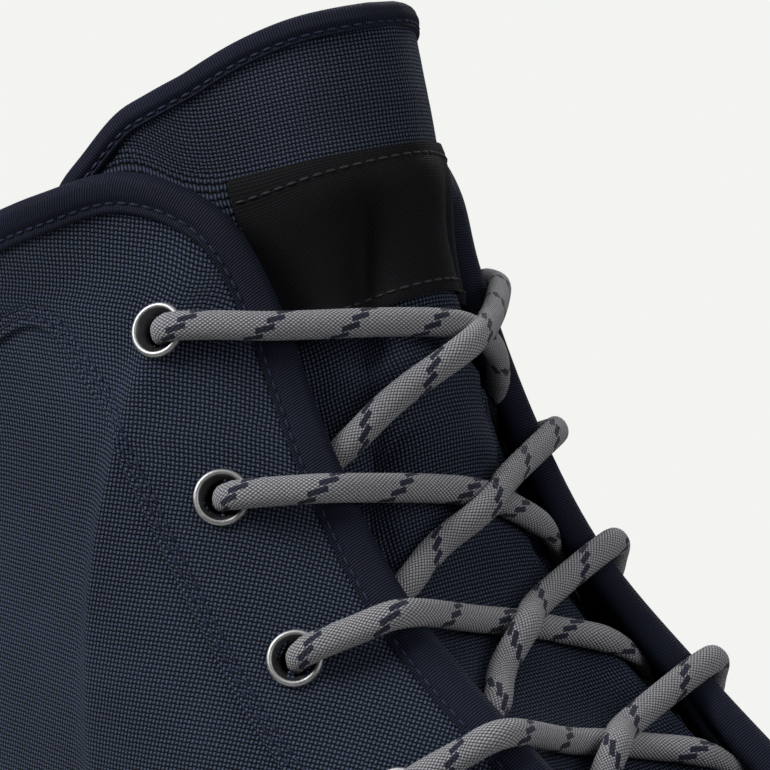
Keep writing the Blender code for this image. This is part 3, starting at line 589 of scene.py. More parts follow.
THROAT_TOP, THROAT_FOOT, THROAT_POINTS = 6.32, 11.75, 161
EYELETS_A_SIDE, EYELET_INSET, EYELET_HOLE = 6, 19.5, 2.65


def eyelet_positions():
    """Ring positions of the outer side's eyelets, evenly spaced along the facing."""
    places = np.linspace(THROAT_TOP, THROAT_FOOT, THROAT_POINTS)
    arcs = arcs_of(np.array([skin(u, np.array(EYELET_INSET)) for u in places]))
    return [float(np.interp(share, arcs, places))
            for share in np.linspace(0, arcs[-1], EYELETS_A_SIDE)]


EYELETS = [(side, number, u if side == "lateral" else RING - u)
           for number, u in enumerate(eyelet_positions(), 1) for side in ("lateral", "medial")]

# how many points the wall's outline has below the seam, by the stitches, up the panel, on
# the top edge before its lining begins, and down the lining
BELOW, BY_SEAM, PANEL, TOP_OUTSIDE, LINING = 40, 15, 26, 3, 44
SEAM_STEP = 0.3
PANEL_FOLD = ((0.45, 0.02), (0.18, 0.16), (0.02, 0.5), (-0.2, 0.76))
TOP_EDGE = [(0.2, PANEL_STEP), (0.0, 0.4), (0.0, -1.5), (0.0, -WALL + 0.3), (0.3, -WALL)]
PUFF = 0.35


def upper_section(u):
    """Levels and depths of the wall's outline on one girth line, from the foot outside."""
    length, seam = girth_length(u), around(OTHER, u)[2]
    below = np.linspace(length, seam + 1.2, BELOW)
    near_seam = seam - 0.5 - SEAM_STEP * np.arange(BY_SEAM)
    above = np.linspace(near_seam[-1] - 0.8, 1.0, PANEL)
    panel = np.concatenate((near_seam, above))
    sunk = sum(np.exp(-((seam - panel - row) / 0.5) ** 2) for row in STITCH_ROWS)
    puff = PUFF * np.sin(np.pi * np.clip((panel - 4) / (seam - 8), 0, 1))
    downs = np.concatenate((below, [seam + down for down, _ in PANEL_FOLD], panel,
                            [down for down, _ in TOP_EDGE], np.linspace(1.5, length, LINING),
                            [length]))
    outs = np.concatenate((np.zeros(BELOW), [out for _, out in PANEL_FOLD],
                           PANEL_STEP - STITCH_SINK * sunk + puff, [out for _, out in TOP_EDGE],
                           np.full(LINING, -WALL), [0.0]))
    return downs, outs


LINING_FROM = BELOW + len(PANEL_FOLD) + BY_SEAM + PANEL + TOP_OUTSIDE


def straight_threads(places):
    """The cloth's own coordinates on a grid of girth lines, with its threads kept straight.

    Along: level distance from the back of the heel at a point's own height, so that upright
    threads stay upright where the girth lines fan out. Up: the rise of the wall between
    level threads, which goes on over the toe, where height alone would crowd them."""
    heights = places[..., 2]
    along_level = np.zeros(heights.shape)
    for row in range(1, len(places)):
        here, before = places[row], places[row - 1]
        climb = np.maximum.accumulate(before[:, 2])
        twin = np.stack([np.interp(here[:, 2], climb, before[:, k]) for k in (0, 1)], axis=-1)
        step = np.linalg.norm(here[:, :2] - twin, axis=-1)
        along_level[row] = np.interp(here[:, 2], climb, along_level[row - 1]) + step
    level = unit(np.gradient(places, axis=0) * (1, 1, 0) + (0, 1e-9, 0))
    rise = np.diff(places, axis=1)
    rise = rise - np.sum(rise * level[:, 1:], axis=-1, keepdims=True) * level[:, 1:]
    up = heights[:, :1] + np.cumsum(np.linalg.norm(rise, axis=-1), axis=1)
    return np.stack((along_level, np.concatenate((heights[:, :1], up), axis=1)), axis=-1)


places, threads = [], []
for u in AROUND:
    downs, outs = upper_section(u)
    places.append(wall(u, downs, outs + pressed(u, downs)))
    threads.append(np.stack((round_the_boot(u, downs), downs), axis=-1))
places, threads = np.array(places), np.array(threads)
threads[:, :LINING_FROM] = straight_threads(places[:, :LINING_FROM])
shell = lift(places, threads, inner_from=LINING_FROM)
print("upper:", len(places), "girth lines of", len(places[0]), "points")

# %% [markdown]
# The holes for the eyelets are cut out of the grid itself: every face inside a hole, on the
# nylon and on the lining, is deleted, and the eyelet's flanges cover the rough edge that is
# left, as they do on a real boot.

# %% Holes, materials and the finished shell
HOLE_REACH, HOLE_SLACK = 8.0, 0.5
hole_lines = []
for side, number, u in EYELETS:
    centre = (skin(u, np.array(EYELET_INSET)) - MIDDLE) * MM
    hole_lines.append((Vector(centre), Vector(outward(u, np.array(EYELET_INSET)))))


def in_a_hole(face):
    middle = face.calc_center_median()
    for centre, axis in hole_lines:
        off = middle - centre
        high = off.dot(axis)
        wide = (off - high * axis).length
        if abs(high) < HOLE_REACH * MM and wide < (EYELET_HOLE + HOLE_SLACK) * MM:
            return True
    return False


bmesh.ops.delete(shell, geom=[face for face in shell.faces if in_a_hole(face)],
                 context="FACES_ONLY")
piece("upper_shell", shell, [quarter_nylon, lining_cloth], ["upper"])

# %% [markdown]
# Ribbed tape is folded over the raw edges. Its ribs run across it, about two to a millimetre,
# and a row of stitches holds both its legs. On the collar the stitches lie nearer to the edge.


# %% Ribbed tape
def ribbed(name, deep, light, rib=0.46):
    finish = Finish(name, 0.6, Sheen_Weight=0.01, Sheen_Roughness=0.4,
                    Sheen_Tint=(0.6, 0.7, 0.95, 1), Specular_IOR_Level=0.06)
    x, y = finish.threads()
    ribs = (x / rib + finish.cloud(300, 1) * 0.5).hump()
    fine = (y / 0.3).hump()
    # the colour is near black between the ribs and lighter on their crests: painted shade and
    # highlight, besides the bump
    tone = ribs * 0.7 + fine * 0.12 + finish.cloud(60, 3) * 0.5 - 0.3
    colour = finish.blend(tone.reckon("MAXIMUM", 0.0), deep, light)
    return finish.wear(colour, ribs + fine * 0.12, 0.14, 0.78 - ribs * 0.16)


navy_tape = ribbed("navy tape", (0.0018, 0.0022, 0.0045), (0.0115, 0.0140, 0.0280))

TAPE_THICK, TAPE_WIDTH, THROAT_SEAM, COLLAR_SEAM = 0.7, 5.4, 1.0, 0.8
FOLD_POINTS, LEG_POINTS, TAPE_DIP, TAPE_DIP_WIDTH, TAPE_ROLL = 11, 12, 0.28, 0.6, 0.22
CORNER_GIRTHS = (5.2, 6.6)


def share_of_collar(u):
    """1 on the collar and 0 down the throat."""
    near = min(u % RING, RING - u % RING)
    return float(1 - eased((near - CORNER_GIRTHS[0]) / (CORNER_GIRTHS[1] - CORNER_GIRTHS[0])))


def tape_seam(u):
    """How far below the edge the stitches hold the tape."""
    return TAPE_WIDTH - THROAT_SEAM - COLLAR_SEAM * share_of_collar(u)


def tape_section(width, seam, near, far):
    """The folded tape's outline: how far in from the edge, and how far out from the face."""
    fold = np.linspace(0, np.pi, FOLD_POINTS)
    middle, half = (near + far) / 2, (near - far) / 2 + TAPE_THICK
    leg = np.linspace(width, 0.9, LEG_POINTS)
    dip = TAPE_DIP * np.exp(-((leg - seam) / TAPE_DIP_WIDTH) ** 2)
    roll = TAPE_ROLL * np.sin(np.pi * np.clip(leg / seam, 0, 1))
    downs = [np.full(1, width), leg, 0.4 - 1.7 * np.sin(fold), leg[::-1], np.full(1, width)]
    outs = [np.full(1, near), near + TAPE_THICK - dip + roll - 0.35 * (leg == width),
            middle + (half + 0.05) * np.cos(fold), far - TAPE_THICK + 0.5 * dip[::-1],
            np.full(1, far)]
    return np.concatenate(downs), np.concatenate(outs)


places, threads = [], []
for u in AROUND:
    downs, outs = tape_section(TAPE_WIDTH, tape_seam(u), PANEL_STEP + 0.05, -WALL - 0.05)
    section = wall(u, downs, outs + pressed(u, downs))
    places.append(section)
    threads.append(ribbon_threads(section, np.interp(u, AROUND, ring_arcs()[0])))
piece("collar_and_throat_tape", lift(places, threads), [navy_tape],
      ["binding"])

# %% [markdown]
# Every stitch is a small grain of thread that lies in the cloth with its ends sunk. They are
# made from bmesh's own sphere, one for each stitch, laid along a line on the surface.

# %% Stitches
STITCH, STITCH_GAP, STITCH_THICK = 1.75, 0.45, 0.52
STITCH_AIM, STITCH_SIDES = 0.6, (7, 5)
HANDFUL = 40


def thread_finish(name, deep, light):
    finish = Finish(name, 0.6, Specular_IOR_Level=0.15)
    tone = finish.cloud(1500, 2)
    return finish.wear(finish.blend(tone, deep, light), tone, 0.05)


navy_thread = thread_finish("navy thread", (0.0030, 0.0040, 0.0110), (0.0110, 0.0160, 0.0420))
grey_thread = thread_finish("grey thread", (0.006, 0.0063, 0.0075), (0.020, 0.021, 0.024))


def sew(form, line, looks):
    """Adds a row of stitches along a line of places, which look along `looks`."""
    arcs = arcs_of(line)
    count = max(int(arcs[-1] // (STITCH + STITCH_GAP)), 1)
    handful = bmesh.new()
    for number in range(count):
        middle = arcs[-1] * (number + 0.5) / count
        here = along(line, arcs, middle)
        run = unit(along(line, arcs, middle + STITCH_AIM)
                   - along(line, arcs, middle - STITCH_AIM))
        look = unit(along(looks, arcs, middle))
        side = unit(np.cross(look, run))
        turn = Matrix((run, side, np.cross(run, side))).transposed().to_4x4()
        size = Matrix.Diagonal((STITCH / 2 * MM, STITCH_THICK / 2 * MM, STITCH_THICK / 2 * MM, 1))
        bmesh.ops.create_uvsphere(
            handful, u_segments=STITCH_SIDES[0], v_segments=STITCH_SIDES[1], radius=1.0,
            matrix=Matrix.Translation((here - MIDDLE) * MM) @ turn @ size
            @ Matrix.Rotation(math.pi / 2, 4, "Y"))
        if number % HANDFUL == HANDFUL - 1 or number == count - 1:
            carrier = bpy.data.meshes.new("handful of stitches")
            handful.to_mesh(carrier)
            form.from_mesh(carrier)
            bpy.data.meshes.remove(carrier)
            handful.clear()
    handful.free()


def stitches(name, rows, thread):
    """One piece with all the stitches along rows of (line, looks)."""
    form = bmesh.new()
    for line, looks in rows:
        sew(form, line, looks)
    piece(name, form, [thread], inside_out=False)


def row_round_the_boot(level, out):
    """A row for stitches all the way round, at level(u) below the top edge."""
    downs = [np.array([level(u)]) for u in AROUND]
    line = np.array([wall(u, down, out + pressed(u, down))[0] for u, down in zip(AROUND, downs)])
    return line, np.array([outward(u, down)[0] for u, down in zip(AROUND, downs)])


sewn = [row_round_the_boot(tape_seam, PANEL_STEP + TAPE_THICK - 0.15)]
sewn += [row_round_the_boot(lambda u: around(OTHER, u)[2] - below_seam,
                            PANEL_STEP - STITCH_SINK + 0.05) for below_seam in STITCH_ROWS]
stitches("upper_stitches", sewn, navy_thread)

# %% [markdown]
# A rolled eyelet is a metal tube with a flange at each end. Its profile is drawn once as a few
# points and spun round the eyelet's own axis. The face is brushed dark nickel with random rubbed
# patches and scratches; the faces down in the hole take a much darker copy of it: painted shade.

# %% Eyelets
def brushed(name, deep, light):
    finish = Finish(name, 0.4, Metallic=1.0)
    rubbed, scratches = finish.cloud(900, 3), finish.cloud(2600, 2, (1, 1, 0.2))
    colour = finish.blend(rubbed * 0.7 + scratches * 0.3, deep, light)
    return finish.wear(colour, scratches, 0.02, 0.36 + rubbed * 0.26)


nickel = brushed("dark nickel", (0.16, 0.16, 0.163), (0.36, 0.36, 0.365))
# the same nickel much darker, for the faces down in the hole: painted shade
nickel_painted_shade = brushed("nickel with painted shade in the hole", (0.03, 0.03, 0.031), (0.10, 0.10, 0.103))

EYELET_PROFILE = [(4.42, -0.05), (4.60, 0.22), (4.61, 0.55), (4.50, 0.84), (4.24, 1.02),
                  (3.94, 1.04), (3.72, 0.90), (3.50, 0.55), (3.22, 0.10), (2.92, -0.35),
                  (2.68, -0.70), (2.65, -4.30), (2.80, -4.70), (3.20, -4.85), (3.90, -4.70),
                  (4.00, -4.45), (3.30, -4.40), (3.05, -4.10), (3.05, -0.60), (3.60, -0.10)]
EYELET_TURNS = 40
# inside this radius the eyelet's faces take the darker nickel, which is painted shade
EYELET_SHADE_RADIUS, EYELET_PROUD = 3.66, 0.35


def eyelet(side, number, u):
    centre = wall(u, np.array(EYELET_INSET), PANEL_STEP + EYELET_PROUD)
    axis = Vector(outward(u, np.array(EYELET_INSET)))
    stand = (Matrix.Translation((centre - MIDDLE) * MM)
             @ axis.to_track_quat("Z", "Y").to_matrix().to_4x4())
    form = bmesh.new()
    drawn = [form.verts.new((radius * MM, 0, height * MM)) for radius, height in EYELET_PROFILE]
    lines = [form.edges.new(pair) for pair in zip(drawn, drawn[1:] + drawn[:1])]
    bmesh.ops.spin(form, geom=drawn + lines, cent=(0, 0, 0), axis=(0, 0, 1), dvec=(0, 0, 0),
                   angle=2 * math.pi, steps=EYELET_TURNS, use_merge=True, use_duplicate=False)
    # faces near the axis, down in the hole, take the darker nickel: painted shade
    for face in form.faces:
        face.material_index = int(face.calc_center_median().xy.length < EYELET_SHADE_RADIUS * MM)
    bmesh.ops.transform(form, matrix=stand, verts=form.verts)
    piece(f"rolled_eyelet_{side}_{number}", form, [nickel, nickel_painted_shade],
          [f"eyelet_{side}_{number}"])


for side, number, u in EYELETS:
    eyelet(side, number, u)

# %% [markdown]
# The tongue is padded foam between two layers of nylon. Its table has one row for each
# section, from its foot at the toe end of the throat to its top: where it comes out from under
# the facing, where its thin wing ends, how far its middle stands out, and how thick it is. A
# groove runs down each side of the middle pad, and a crease crosses it where it bends.

# %% The tongue's sections
TONGUE_ABOVE, TONGUE_THICK, TONGUE_EDGE, PAD_EASE, UNDER_FACING = 30.5, 7.0, 2.4, 22.0, 3.0
GROOVE_DEPTH, GROOVE_WIDTH, SHIN_LEAN, TONGUE_TAPE = 2.4, 7.0, 15.0, 3.2
SHOULDER_OUT, SHOULDER_UP, CROSSED_ROWS, TAPED_FROM = 0.56, 0.70, 10, 9
TONGUE_POINTS, TONGUE_ACROSS, TONGUE_FINE = 81, 61, 341
TONGUE_RISE_STEP, TONGUE_LOOK_STEP, CREASE_ENDS = 1.2, 0.1, 12
TONGUE_COLUMNS = ("girth", "down", "wing_girth", "wing_down", "above", "half", "crown",
                  "pad", "groove", "dip", "under")
TONGUE = np.array([
    (14.6, 9.0, 13.2, 13.0, 0.00, 1.00, 0.00, 0.50, 1.00, 0.0, 0.20),
    (14.0, 3.0, 12.7, 13.0, 0.00, 1.00, 0.00, 0.60, 1.00, 0.0, 0.60),
    (13.0, 2.0, 12.0, 20.0, 0.00, 1.00, 0.02, 0.80, 1.00, 0.0, 1.00),
    (12.0, 2.0, 11.3, 26.0, 0.00, 1.00, -0.04, 1.00, 1.00, 0.0, 1.00),
    (11.0, 2.0, 10.5, 30.0, 0.00, 1.00, -0.08, 1.00, 1.00, 0.0, 1.00),
    (10.0, 2.0, 9.5, 34.0, 0.00, 1.00, -0.06, 1.00, 0.95, 0.8, 1.00),
    (9.0, 2.0, 8.5, 36.0, 0.00, 1.00, 0.08, 1.00, 0.85, 1.3, 1.00),
    (8.0, 2.0, 7.2, 38.0, 0.00, 1.00, 0.52, 1.00, 0.62, 1.6, 1.00),
    (7.0, 2.0, 5.6, 32.0, 0.00, 1.00, 0.75, 1.00, 0.45, 1.5, 1.00),
    (6.2, 2.0, 4.2, 14.0, 0.00, 1.00, 0.92, 1.00, 0.42, 0.3, 1.00),
] + [(6.0, 2.0, 4.0, 8.0, above, half, 0.92, pad, 0.42, 0.0, 1.00) for above, half, pad in (
    (0.12, 1.00, 1.00), (0.25, 0.96, 1.00), (0.36, 0.86, 1.00), (0.55, 0.72, 0.85),
    (0.78, 0.58, 0.50), (0.92, 0.43, 0.35), (0.985, 0.24, 0.35), (1.00, 0.05, 0.35))])
TONGUE_TOP = len(TONGUE) - 1


def tongue_row(t):
    """The table's values at row position t, by name."""
    return dict(zip(TONGUE_COLUMNS, between(TONGUE, t)))


@functools.lru_cache(maxsize=None)
def tongue_base(t):
    """The points that a tongue section hangs from: its wing and its edge, both sides."""
    row = tongue_row(t)
    lean = math.radians(SHIN_LEAN)
    lift_up = row["above"] * TONGUE_ABOVE * np.array((-math.sin(lean), 0, math.cos(lean)))
    inside = -WALL - row["under"] * UNDER_FACING
    sides = []
    for mirrored in (False, True):
        side = []
        for share in (0, 0.5, 1):
            u = row["wing_girth"] + (row["girth"] - row["wing_girth"]) * share
            depth = np.array(row["wing_down"] + (row["down"] - row["wing_down"]) * share)
            side.append(wall(RING - u if mirrored else u, depth, inside) + lift_up)
        sides.append(side)
    return sides


@functools.lru_cache(maxsize=None)
def tongue_section(t):
    """The tongue's outer face across row position t, lateral to medial, and its arcs."""
    half, other = tongue_base(t)
    centre = (half[2] + other[2]) / 2
    before, after = (sum(side[2] for side in tongue_base(min(max(t + step, 0), TONGUE_TOP)))
                     for step in (-TONGUE_RISE_STEP, TONGUE_RISE_STEP))
    rise = unit(after - before)
    front = unit(np.array((rise[2], 0, -rise[0])))
    crown = tongue_row(t)["crown"] * THROAT_HALF_GAP * front
    shoulders = [centre + SHOULDER_OUT * (end - centre) + SHOULDER_UP * crown
                 for end in (half[2], other[2])]
    posts = half + [shoulders[0], centre + crown, shoulders[1]] + other[::-1]
    fine = np.array([between(posts, place)
                     for place in np.linspace(0, len(posts) - 1, TONGUE_POINTS)])
    arcs = arcs_of(fine)
    return fine, arcs - arcs[-1] / 2


def tongue_face(t, s, out=0.0):
    """Points of the tongue's face, s millimetres round from its middle line."""
    t, s = round(float(t), 4), np.asarray(s, dtype=float)
    across = along(*tongue_section(t), s + 1) - along(*tongue_section(t), s - 1)
    above, below = min(t + TONGUE_LOOK_STEP, TONGUE_TOP), max(t - TONGUE_LOOK_STEP, 0)
    upwards = (along(*tongue_section(round(above, 4)), s)
               - along(*tongue_section(round(below, 4)), s))
    look = unit(np.cross(across, upwards))
    return along(*tongue_section(t), s) + np.asarray(out, dtype=float)[..., None] * look


def tongue_half(t):
    """Half the tongue's width there, measured round it."""
    t = round(float(t), 4)
    return min(tongue_row(t)["half"], 1.0) * tongue_section(t)[1][-1]


@functools.lru_cache(maxsize=None)
def tongue_rows(step):
    """Row positions evenly spaced up the tongue's middle line, and their heights along it."""
    rows = np.linspace(0, TONGUE_TOP, TONGUE_FINE)
    arcs = arcs_of(np.array([tongue_face(t, 0.0) for t in rows]))
    reach = np.linspace(0, arcs[-1], int(arcs[-1] / step) + 1)
    return np.interp(reach, arcs, rows), reach


def row_below_top(fall):
    rows, reach = tongue_rows(1.0)
    return float(np.interp(reach[-1] - fall, reach, rows))


def tongue_thickness(t, s):
    """Padded in the middle and thin at the edges and in the wings."""
    pad = tongue_row(t)["pad"] * TONGUE_THICK
    from_edge = tongue_half(t) - np.abs(s) - TONGUE_TAPE - 1
    return TONGUE_EDGE + (pad - TONGUE_EDGE) * eased(from_edge / PAD_EASE)


# where a crease crosses the tongue: how far below its top, how far it slants, its width and
# depth, and where it fades on each side of the middle
TONGUE_CREASES = [(54.5, 0.10, 3.4, 2.0, -30, 30), (63.0, -0.22, 3.0, 0.8, -24, 10),
                  (22.0, 0.20, 5.0, 0.5, -26, 18), (78.0, 0.16, 4.0, 0.6, -6, 26),
                  (98.0, -0.12, 4.5, 0.7, -22, 22), (120.0, 0.10, 4.5, 0.6, -22, 22)]


def tongue_relief(t, s, below_top):
    """Grooves, creases and the soft crown between them, in millimetres outwards."""
    row = tongue_row(t)
    off = (np.abs(s) - row["groove"] * THROAT_HALF_GAP) / (GROOVE_WIDTH / 2)
    relief = -max(row["dip"], 0) * GROOVE_DEPTH * np.exp(-off * off)
    for fall, slant, width, depth, left, right in TONGUE_CREASES:
        off = (below_top - fall - slant * s) / width
        fade = eased((s - left) / CREASE_ENDS) * eased((right - s) / CREASE_ENDS)
        relief = relief + depth * fade * (0.4 * np.exp(-(np.abs(off) - 1.6) ** 2 * 2)
                                          - np.exp(-off * off))
    return relief


# %% The padded tongue
rows, reach = tongue_rows(1.6)
places, threads = [], []
for t, height in zip(rows, reach):
    half = tongue_half(t)
    s = half * np.sin(np.pi / 2 * np.linspace(-1, 1, TONGUE_ACROSS))
    relief = tongue_relief(t, s, reach[-1] - height)
    back = -np.maximum(tongue_thickness(t, s), -relief + TONGUE_EDGE - 0.6)
    edge = np.array([-1.2])
    section = np.concatenate((tongue_face(t, s, relief), tongue_face(t, half + 0.5, edge),
                              tongue_face(t, s[::-1], back[::-1]),
                              tongue_face(t, -half - 0.5, edge),
                              tongue_face(t, s[:1], relief[:1])))
    places.append(section)
    around_it = np.concatenate((s, [half], 2 * half - s[::-1], [3 * half], [3 * half]))
    threads.append(np.stack((around_it, np.full(len(section), height)), axis=-1))
tongue = piece("padded_tongue", closed(lift(places, threads, inner_from=TONGUE_ACROSS)),
               [tongue_nylon, lining_cloth], ["tongue"])

# %% The tongue's tape and its stitches
TONGUE_SEAM, RIM_STEP, RIM_POINTS, EASED_OVER = TONGUE_TAPE - 0.9, 1.2, 100, 9
climb = np.linspace(TAPED_FROM, TONGUE_TOP, RIM_POINTS)
route = [(t, -1) for t in climb] + [(t, 1) for t in climb[::-1]]
rim = np.array([tongue_face(t, side * tongue_half(t)) for t, side in route])
rim_arcs = arcs_of(rim)
evenly = np.linspace(0, rim_arcs[-1], int(rim_arcs[-1] / RIM_STEP))
rim_places = np.interp(evenly, rim_arcs, np.arange(len(route)))
line = np.array([along(rim, rim_arcs, arc) for arc in evenly])
looks = []
for place in rim_places:
    t, side = route[int(round(place))]
    half = side * tongue_half(t)
    looks.append(tongue_face(t, half, 1.0) - tongue_face(t, half))
looks = np.array(looks)
kernel = np.hanning(EASED_OVER) / np.hanning(EASED_OVER).sum()
looks = unit(np.stack([np.convolve(np.pad(looks[:, k], EASED_OVER // 2, mode="edge"), kernel,
                                   mode="valid") for k in range(3)], axis=-1))
runs = unit(np.gradient(line, axis=0))
inwards = unit(np.cross(runs, looks))
places, threads = [], []
for point, look, inward, run in zip(line, looks, inwards, evenly):
    downs, outs = tape_section(TONGUE_TAPE, TONGUE_SEAM, 0.05, -TONGUE_EDGE - 0.05)
    section = point + downs[:, None] * inward + outs[:, None] * look
    places.append(section)
    threads.append(ribbon_threads(section, run))
piece("tongue_tape", closed(lift(places, threads)), [navy_tape],
      ["tongue_binding"])
sewn = [(line + TONGUE_SEAM * inwards + (TAPE_THICK - 0.1) * looks, looks)]
stitches("tongue_tape_stitches", sewn, navy_thread)

# %% [markdown]
# The label is a dense woven patch, sewn on along its top and bottom edges. It is left bare.

# %% The label
LABEL_BELOW_TOP, LABEL_HEIGHT, LABEL_SHORT, LABEL_THICK, LABEL_GAP = 22.5, 25.0, 4.0, 0.8, 0.25
LABEL_SEAM, LABEL_POINTS, LABEL_ROWS, LABEL_SEWN = 2.0, 49, 26, 80
label_cloth = woven("label cloth", (0.0012, 0.0012, 0.0014), (0.0085, 0.0088, 0.0105), 0.34,
                    0.05, 0.6, 0.01)


def half_round(t):
    """From the tongue's middle line to the facing's edge, measured round the tongue."""
    points, arcs = tongue_section(round(float(t), 4))
    return arcs[-1 - len(points) // 4]


def on_label(fall, share, out):
    """A point on the label: how far below the tongue's top, and share of its half width."""
    t = row_below_top(fall)
    s = np.asarray(share) * (half_round(t) - LABEL_SHORT)
    return tongue_face(t, s, out + tongue_relief(t, s, fall))


def label_section(fall, edge):
    shares = np.linspace(-1, 1, LABEL_POINTS)
    face, back = (np.full(LABEL_POINTS, LABEL_GAP + thick)
                  for thick in (LABEL_THICK * edge, 0))
    return np.concatenate((on_label(fall, shares, face), on_label(fall, shares[::-1], back),
                           on_label(fall, shares[:1], face[:1])))


falls = np.linspace(LABEL_BELOW_TOP, LABEL_BELOW_TOP + LABEL_HEIGHT, LABEL_ROWS)
places = [label_section(fall, 0.55 if fall in (falls[0], falls[-1]) else 1) for fall in falls]
threads = [np.stack((arcs_of(section), np.full(len(section), fall)), axis=-1)
           for section, fall in zip(places, falls)]
piece("woven_label", closed(lift(places, threads)), [label_cloth], ["label"])
sewn = []
for fall in (falls[0] + LABEL_SEAM, falls[-1] - LABEL_SEAM):
    shares = np.linspace(-0.99, 0.99, LABEL_SEWN)
    line, above, below = (on_label(fall, shares, np.full(LABEL_SEWN, out))
                          for out in (LABEL_GAP + LABEL_THICK + 0.05, 2.0, 1.0))
    sewn.append((line, unit(above - below)))
stitches("label_stitches", sewn, grey_thread)

# %% [markdown]
# One lace runs through all twelve eyelets. From each it crosses the tongue, slips under the
# other facing's edge and comes up through the next eyelet there; at the foot of the throat it
# goes straight across. Both hidden ends lie inside, behind the top eyelets. The stops below
# are places on the boot, each with the direction in which the lace's flatter face looks.

# %% The lace's route
LACE_WIDTH, LACE_HEIGHT, LACE_JOIN = 4.8, 3.9, 0.3
OVER_EYELET, OVER_TAPE, OFF_PAD, BAR_LIFT = 1.75, 0.75, 0.1, 0.6
# the lace's height there, as a share of its own: flat under the facing, tight in the eyelets
SLIPPED_UNDER, PART_UNDER, IN_EYELET = 0.62, 0.8, 0.95
LACING_COLUMNS = ("leaves", "far", "enters", "slips", "drop", "label")
LACING = [(0.62, 0.60, 1.02, 1.20, 0.00, 1), (0.45, 0.37, 0.97, 1.15, -0.05, 0),
          (0.33, 0.18, 0.84, 1.10, -0.13, 0), (0.28, 0.18, 0.80, 1.06, -0.18, 0),
          (0.25, 0.20, 0.80, 1.00, -0.16, 0)]
LACE_EYELETS = eyelet_positions()
# on the way from an eyelet to the edge: share of the way, and how far the lace lifts off it
RIM_STOPS = [(0.10, -1.0), (0.24, 0.0), (0.60, 0.5)]


def by_facing(u, side, down, out, squash):
    """A stop at the facing: its place, where it looks, and how high the lace is there."""
    u, down = (u if side < 0 else RING - u), np.array(down, dtype=float)
    look = outward(u, down)
    return skin(u, down) + out * look, look, squash


def on_facing(u, side, down, out, squash=1.0):
    return by_facing(u, side, down, PANEL_STEP + out + LACE_HEIGHT / 2, squash)


def under_facing(u, side, down, squash=SLIPPED_UNDER):
    return by_facing(u, side, down, -(WALL + UNDER_FACING / 2), squash)


def on_tongue(u, share, out=0.0):
    """A stop on the tongue, `share` of the way out to the facing's edge."""
    t = float(np.interp(-u, -TONGUE[:CROSSED_ROWS, 0], range(CROSSED_ROWS)))
    s = share * half_round(t)
    look = tongue_face(t, s, 1.0) - tongue_face(t, s)
    return tongue_face(t, s) + (out + LACE_HEIGHT / 2) * look, look, 1.0


def through_eyelet(number, side):
    """Up from behind the facing, through the eyelet, and out over its rim."""
    u = LACE_EYELETS[number]
    return [under_facing(u, side, EYELET_INSET - 6.5),
            under_facing(u, side, EYELET_INSET - 2.5, PART_UNDER),
            on_facing(u, side, EYELET_INSET, -WALL - LACE_HEIGHT / 2, IN_EYELET),
            on_facing(u, side, EYELET_INSET, -LACE_HEIGHT / 2 + 0.4, IN_EYELET)]


def over_the_rim(u, side, edge):
    """Out of an eyelet and straight across the facing towards a stop at its edge."""
    start = on_facing(u, side, EYELET_INSET, OVER_EYELET)
    stops = []
    for share, lift_off in RIM_STOPS:
        look = unit(start[1] * (1 - share) + edge[1] * share)
        stops.append((start[0] * (1 - share) + edge[0] * share + lift_off * look, look, 1.0))
    return stops


def crossing(number, side, over):
    """From an eyelet across the throat, and under the other facing's edge."""
    first, second = LACE_EYELETS[number:number + 2]
    row = dict(zip(LACING_COLUMNS, LACING[number]))

    def at(share):
        return first + (second - first) * share

    leaves, enters = (row[name] for name in (("leaves", "enters"), ("far", "slips"))[side > 0])
    edge = on_facing(at(leaves), side, 0.5, OVER_TAPE + 0.15)
    stops = over_the_rim(first, side, edge) + [edge]
    for across in np.linspace(-0.30, 0.78, 4):
        off = across * THROAT_HALF_GAP / (1.5 * LACE_WIDTH)
        rise = over * (LACE_HEIGHT - LACE_JOIN) * math.exp(-off * off)
        rise += OFF_PAD + row["label"] * (LABEL_GAP + LABEL_THICK)
        fall = (leaves * (1 - across) + enters * (1 + across)) / 2
        fall += row["drop"] * (1 - across * across)
        stops.append(on_tongue(at(fall), -side * across, rise))
    stops += [under_facing(at(enters), -side, down) for down in (5.0, 10.0)]
    return stops


def half_lace(side, over):
    """From a hidden end to the lowest eyelet, zigzag down the throat."""
    top = LACE_EYELETS[0]
    stops = [under_facing(top, side, EYELET_INSET - down) for down in (13.0, 10.0)]
    for number in range(EYELETS_A_SIDE - 1):
        stops += through_eyelet(number, side) + crossing(number, side, over)
        side, over = -side, 1 - over
    return stops + through_eyelet(EYELETS_A_SIDE - 1, side)


def lace_route():
    lowest = LACE_EYELETS[-1]
    edges = [(side, on_facing(lowest, side, 0.0, OVER_TAPE + BAR_LIFT)) for side in (-1, 1)]
    near, far = (over_the_rim(lowest, side, edge) + [edge] for side, edge in edges)
    middle = [tuple(near[-1][k] * (1 - share) + far[-1][k] * share for k in (0, 1)) + (1.0,)
              for share in (0.25, 0.5, 0.75)]
    first, second = half_lace(-1, 0), half_lace(1, 1)
    return first + far + middle[::-1] + near[::-1] + second[::-1]


POINTS_A_STOP, LACE_STEP, TIMES_EASED = 14, 1.1, 5
stops = lace_route()
posts = np.array([np.concatenate((place, unit(look), [squash])) for place, look, squash in stops])
count = len(posts) - 1
dense = np.array([between(posts, t) for t in np.linspace(0, count, count * POINTS_A_STOP + 1)])
dense_arcs = arcs_of(dense[:, :3])
lace_arcs = np.linspace(0, dense_arcs[-1], int(dense_arcs[-1] / LACE_STEP))
lace = np.stack([np.interp(lace_arcs, dense_arcs, dense[:, k]) for k in range(7)], axis=-1)
for _ in range(TIMES_EASED):
    lace[1:-1, :3] = (lace[:-2, :3] + 2 * lace[1:-1, :3] + lace[2:, :3]) / 4
print("lace length", round(dense_arcs[-1]), "mm")

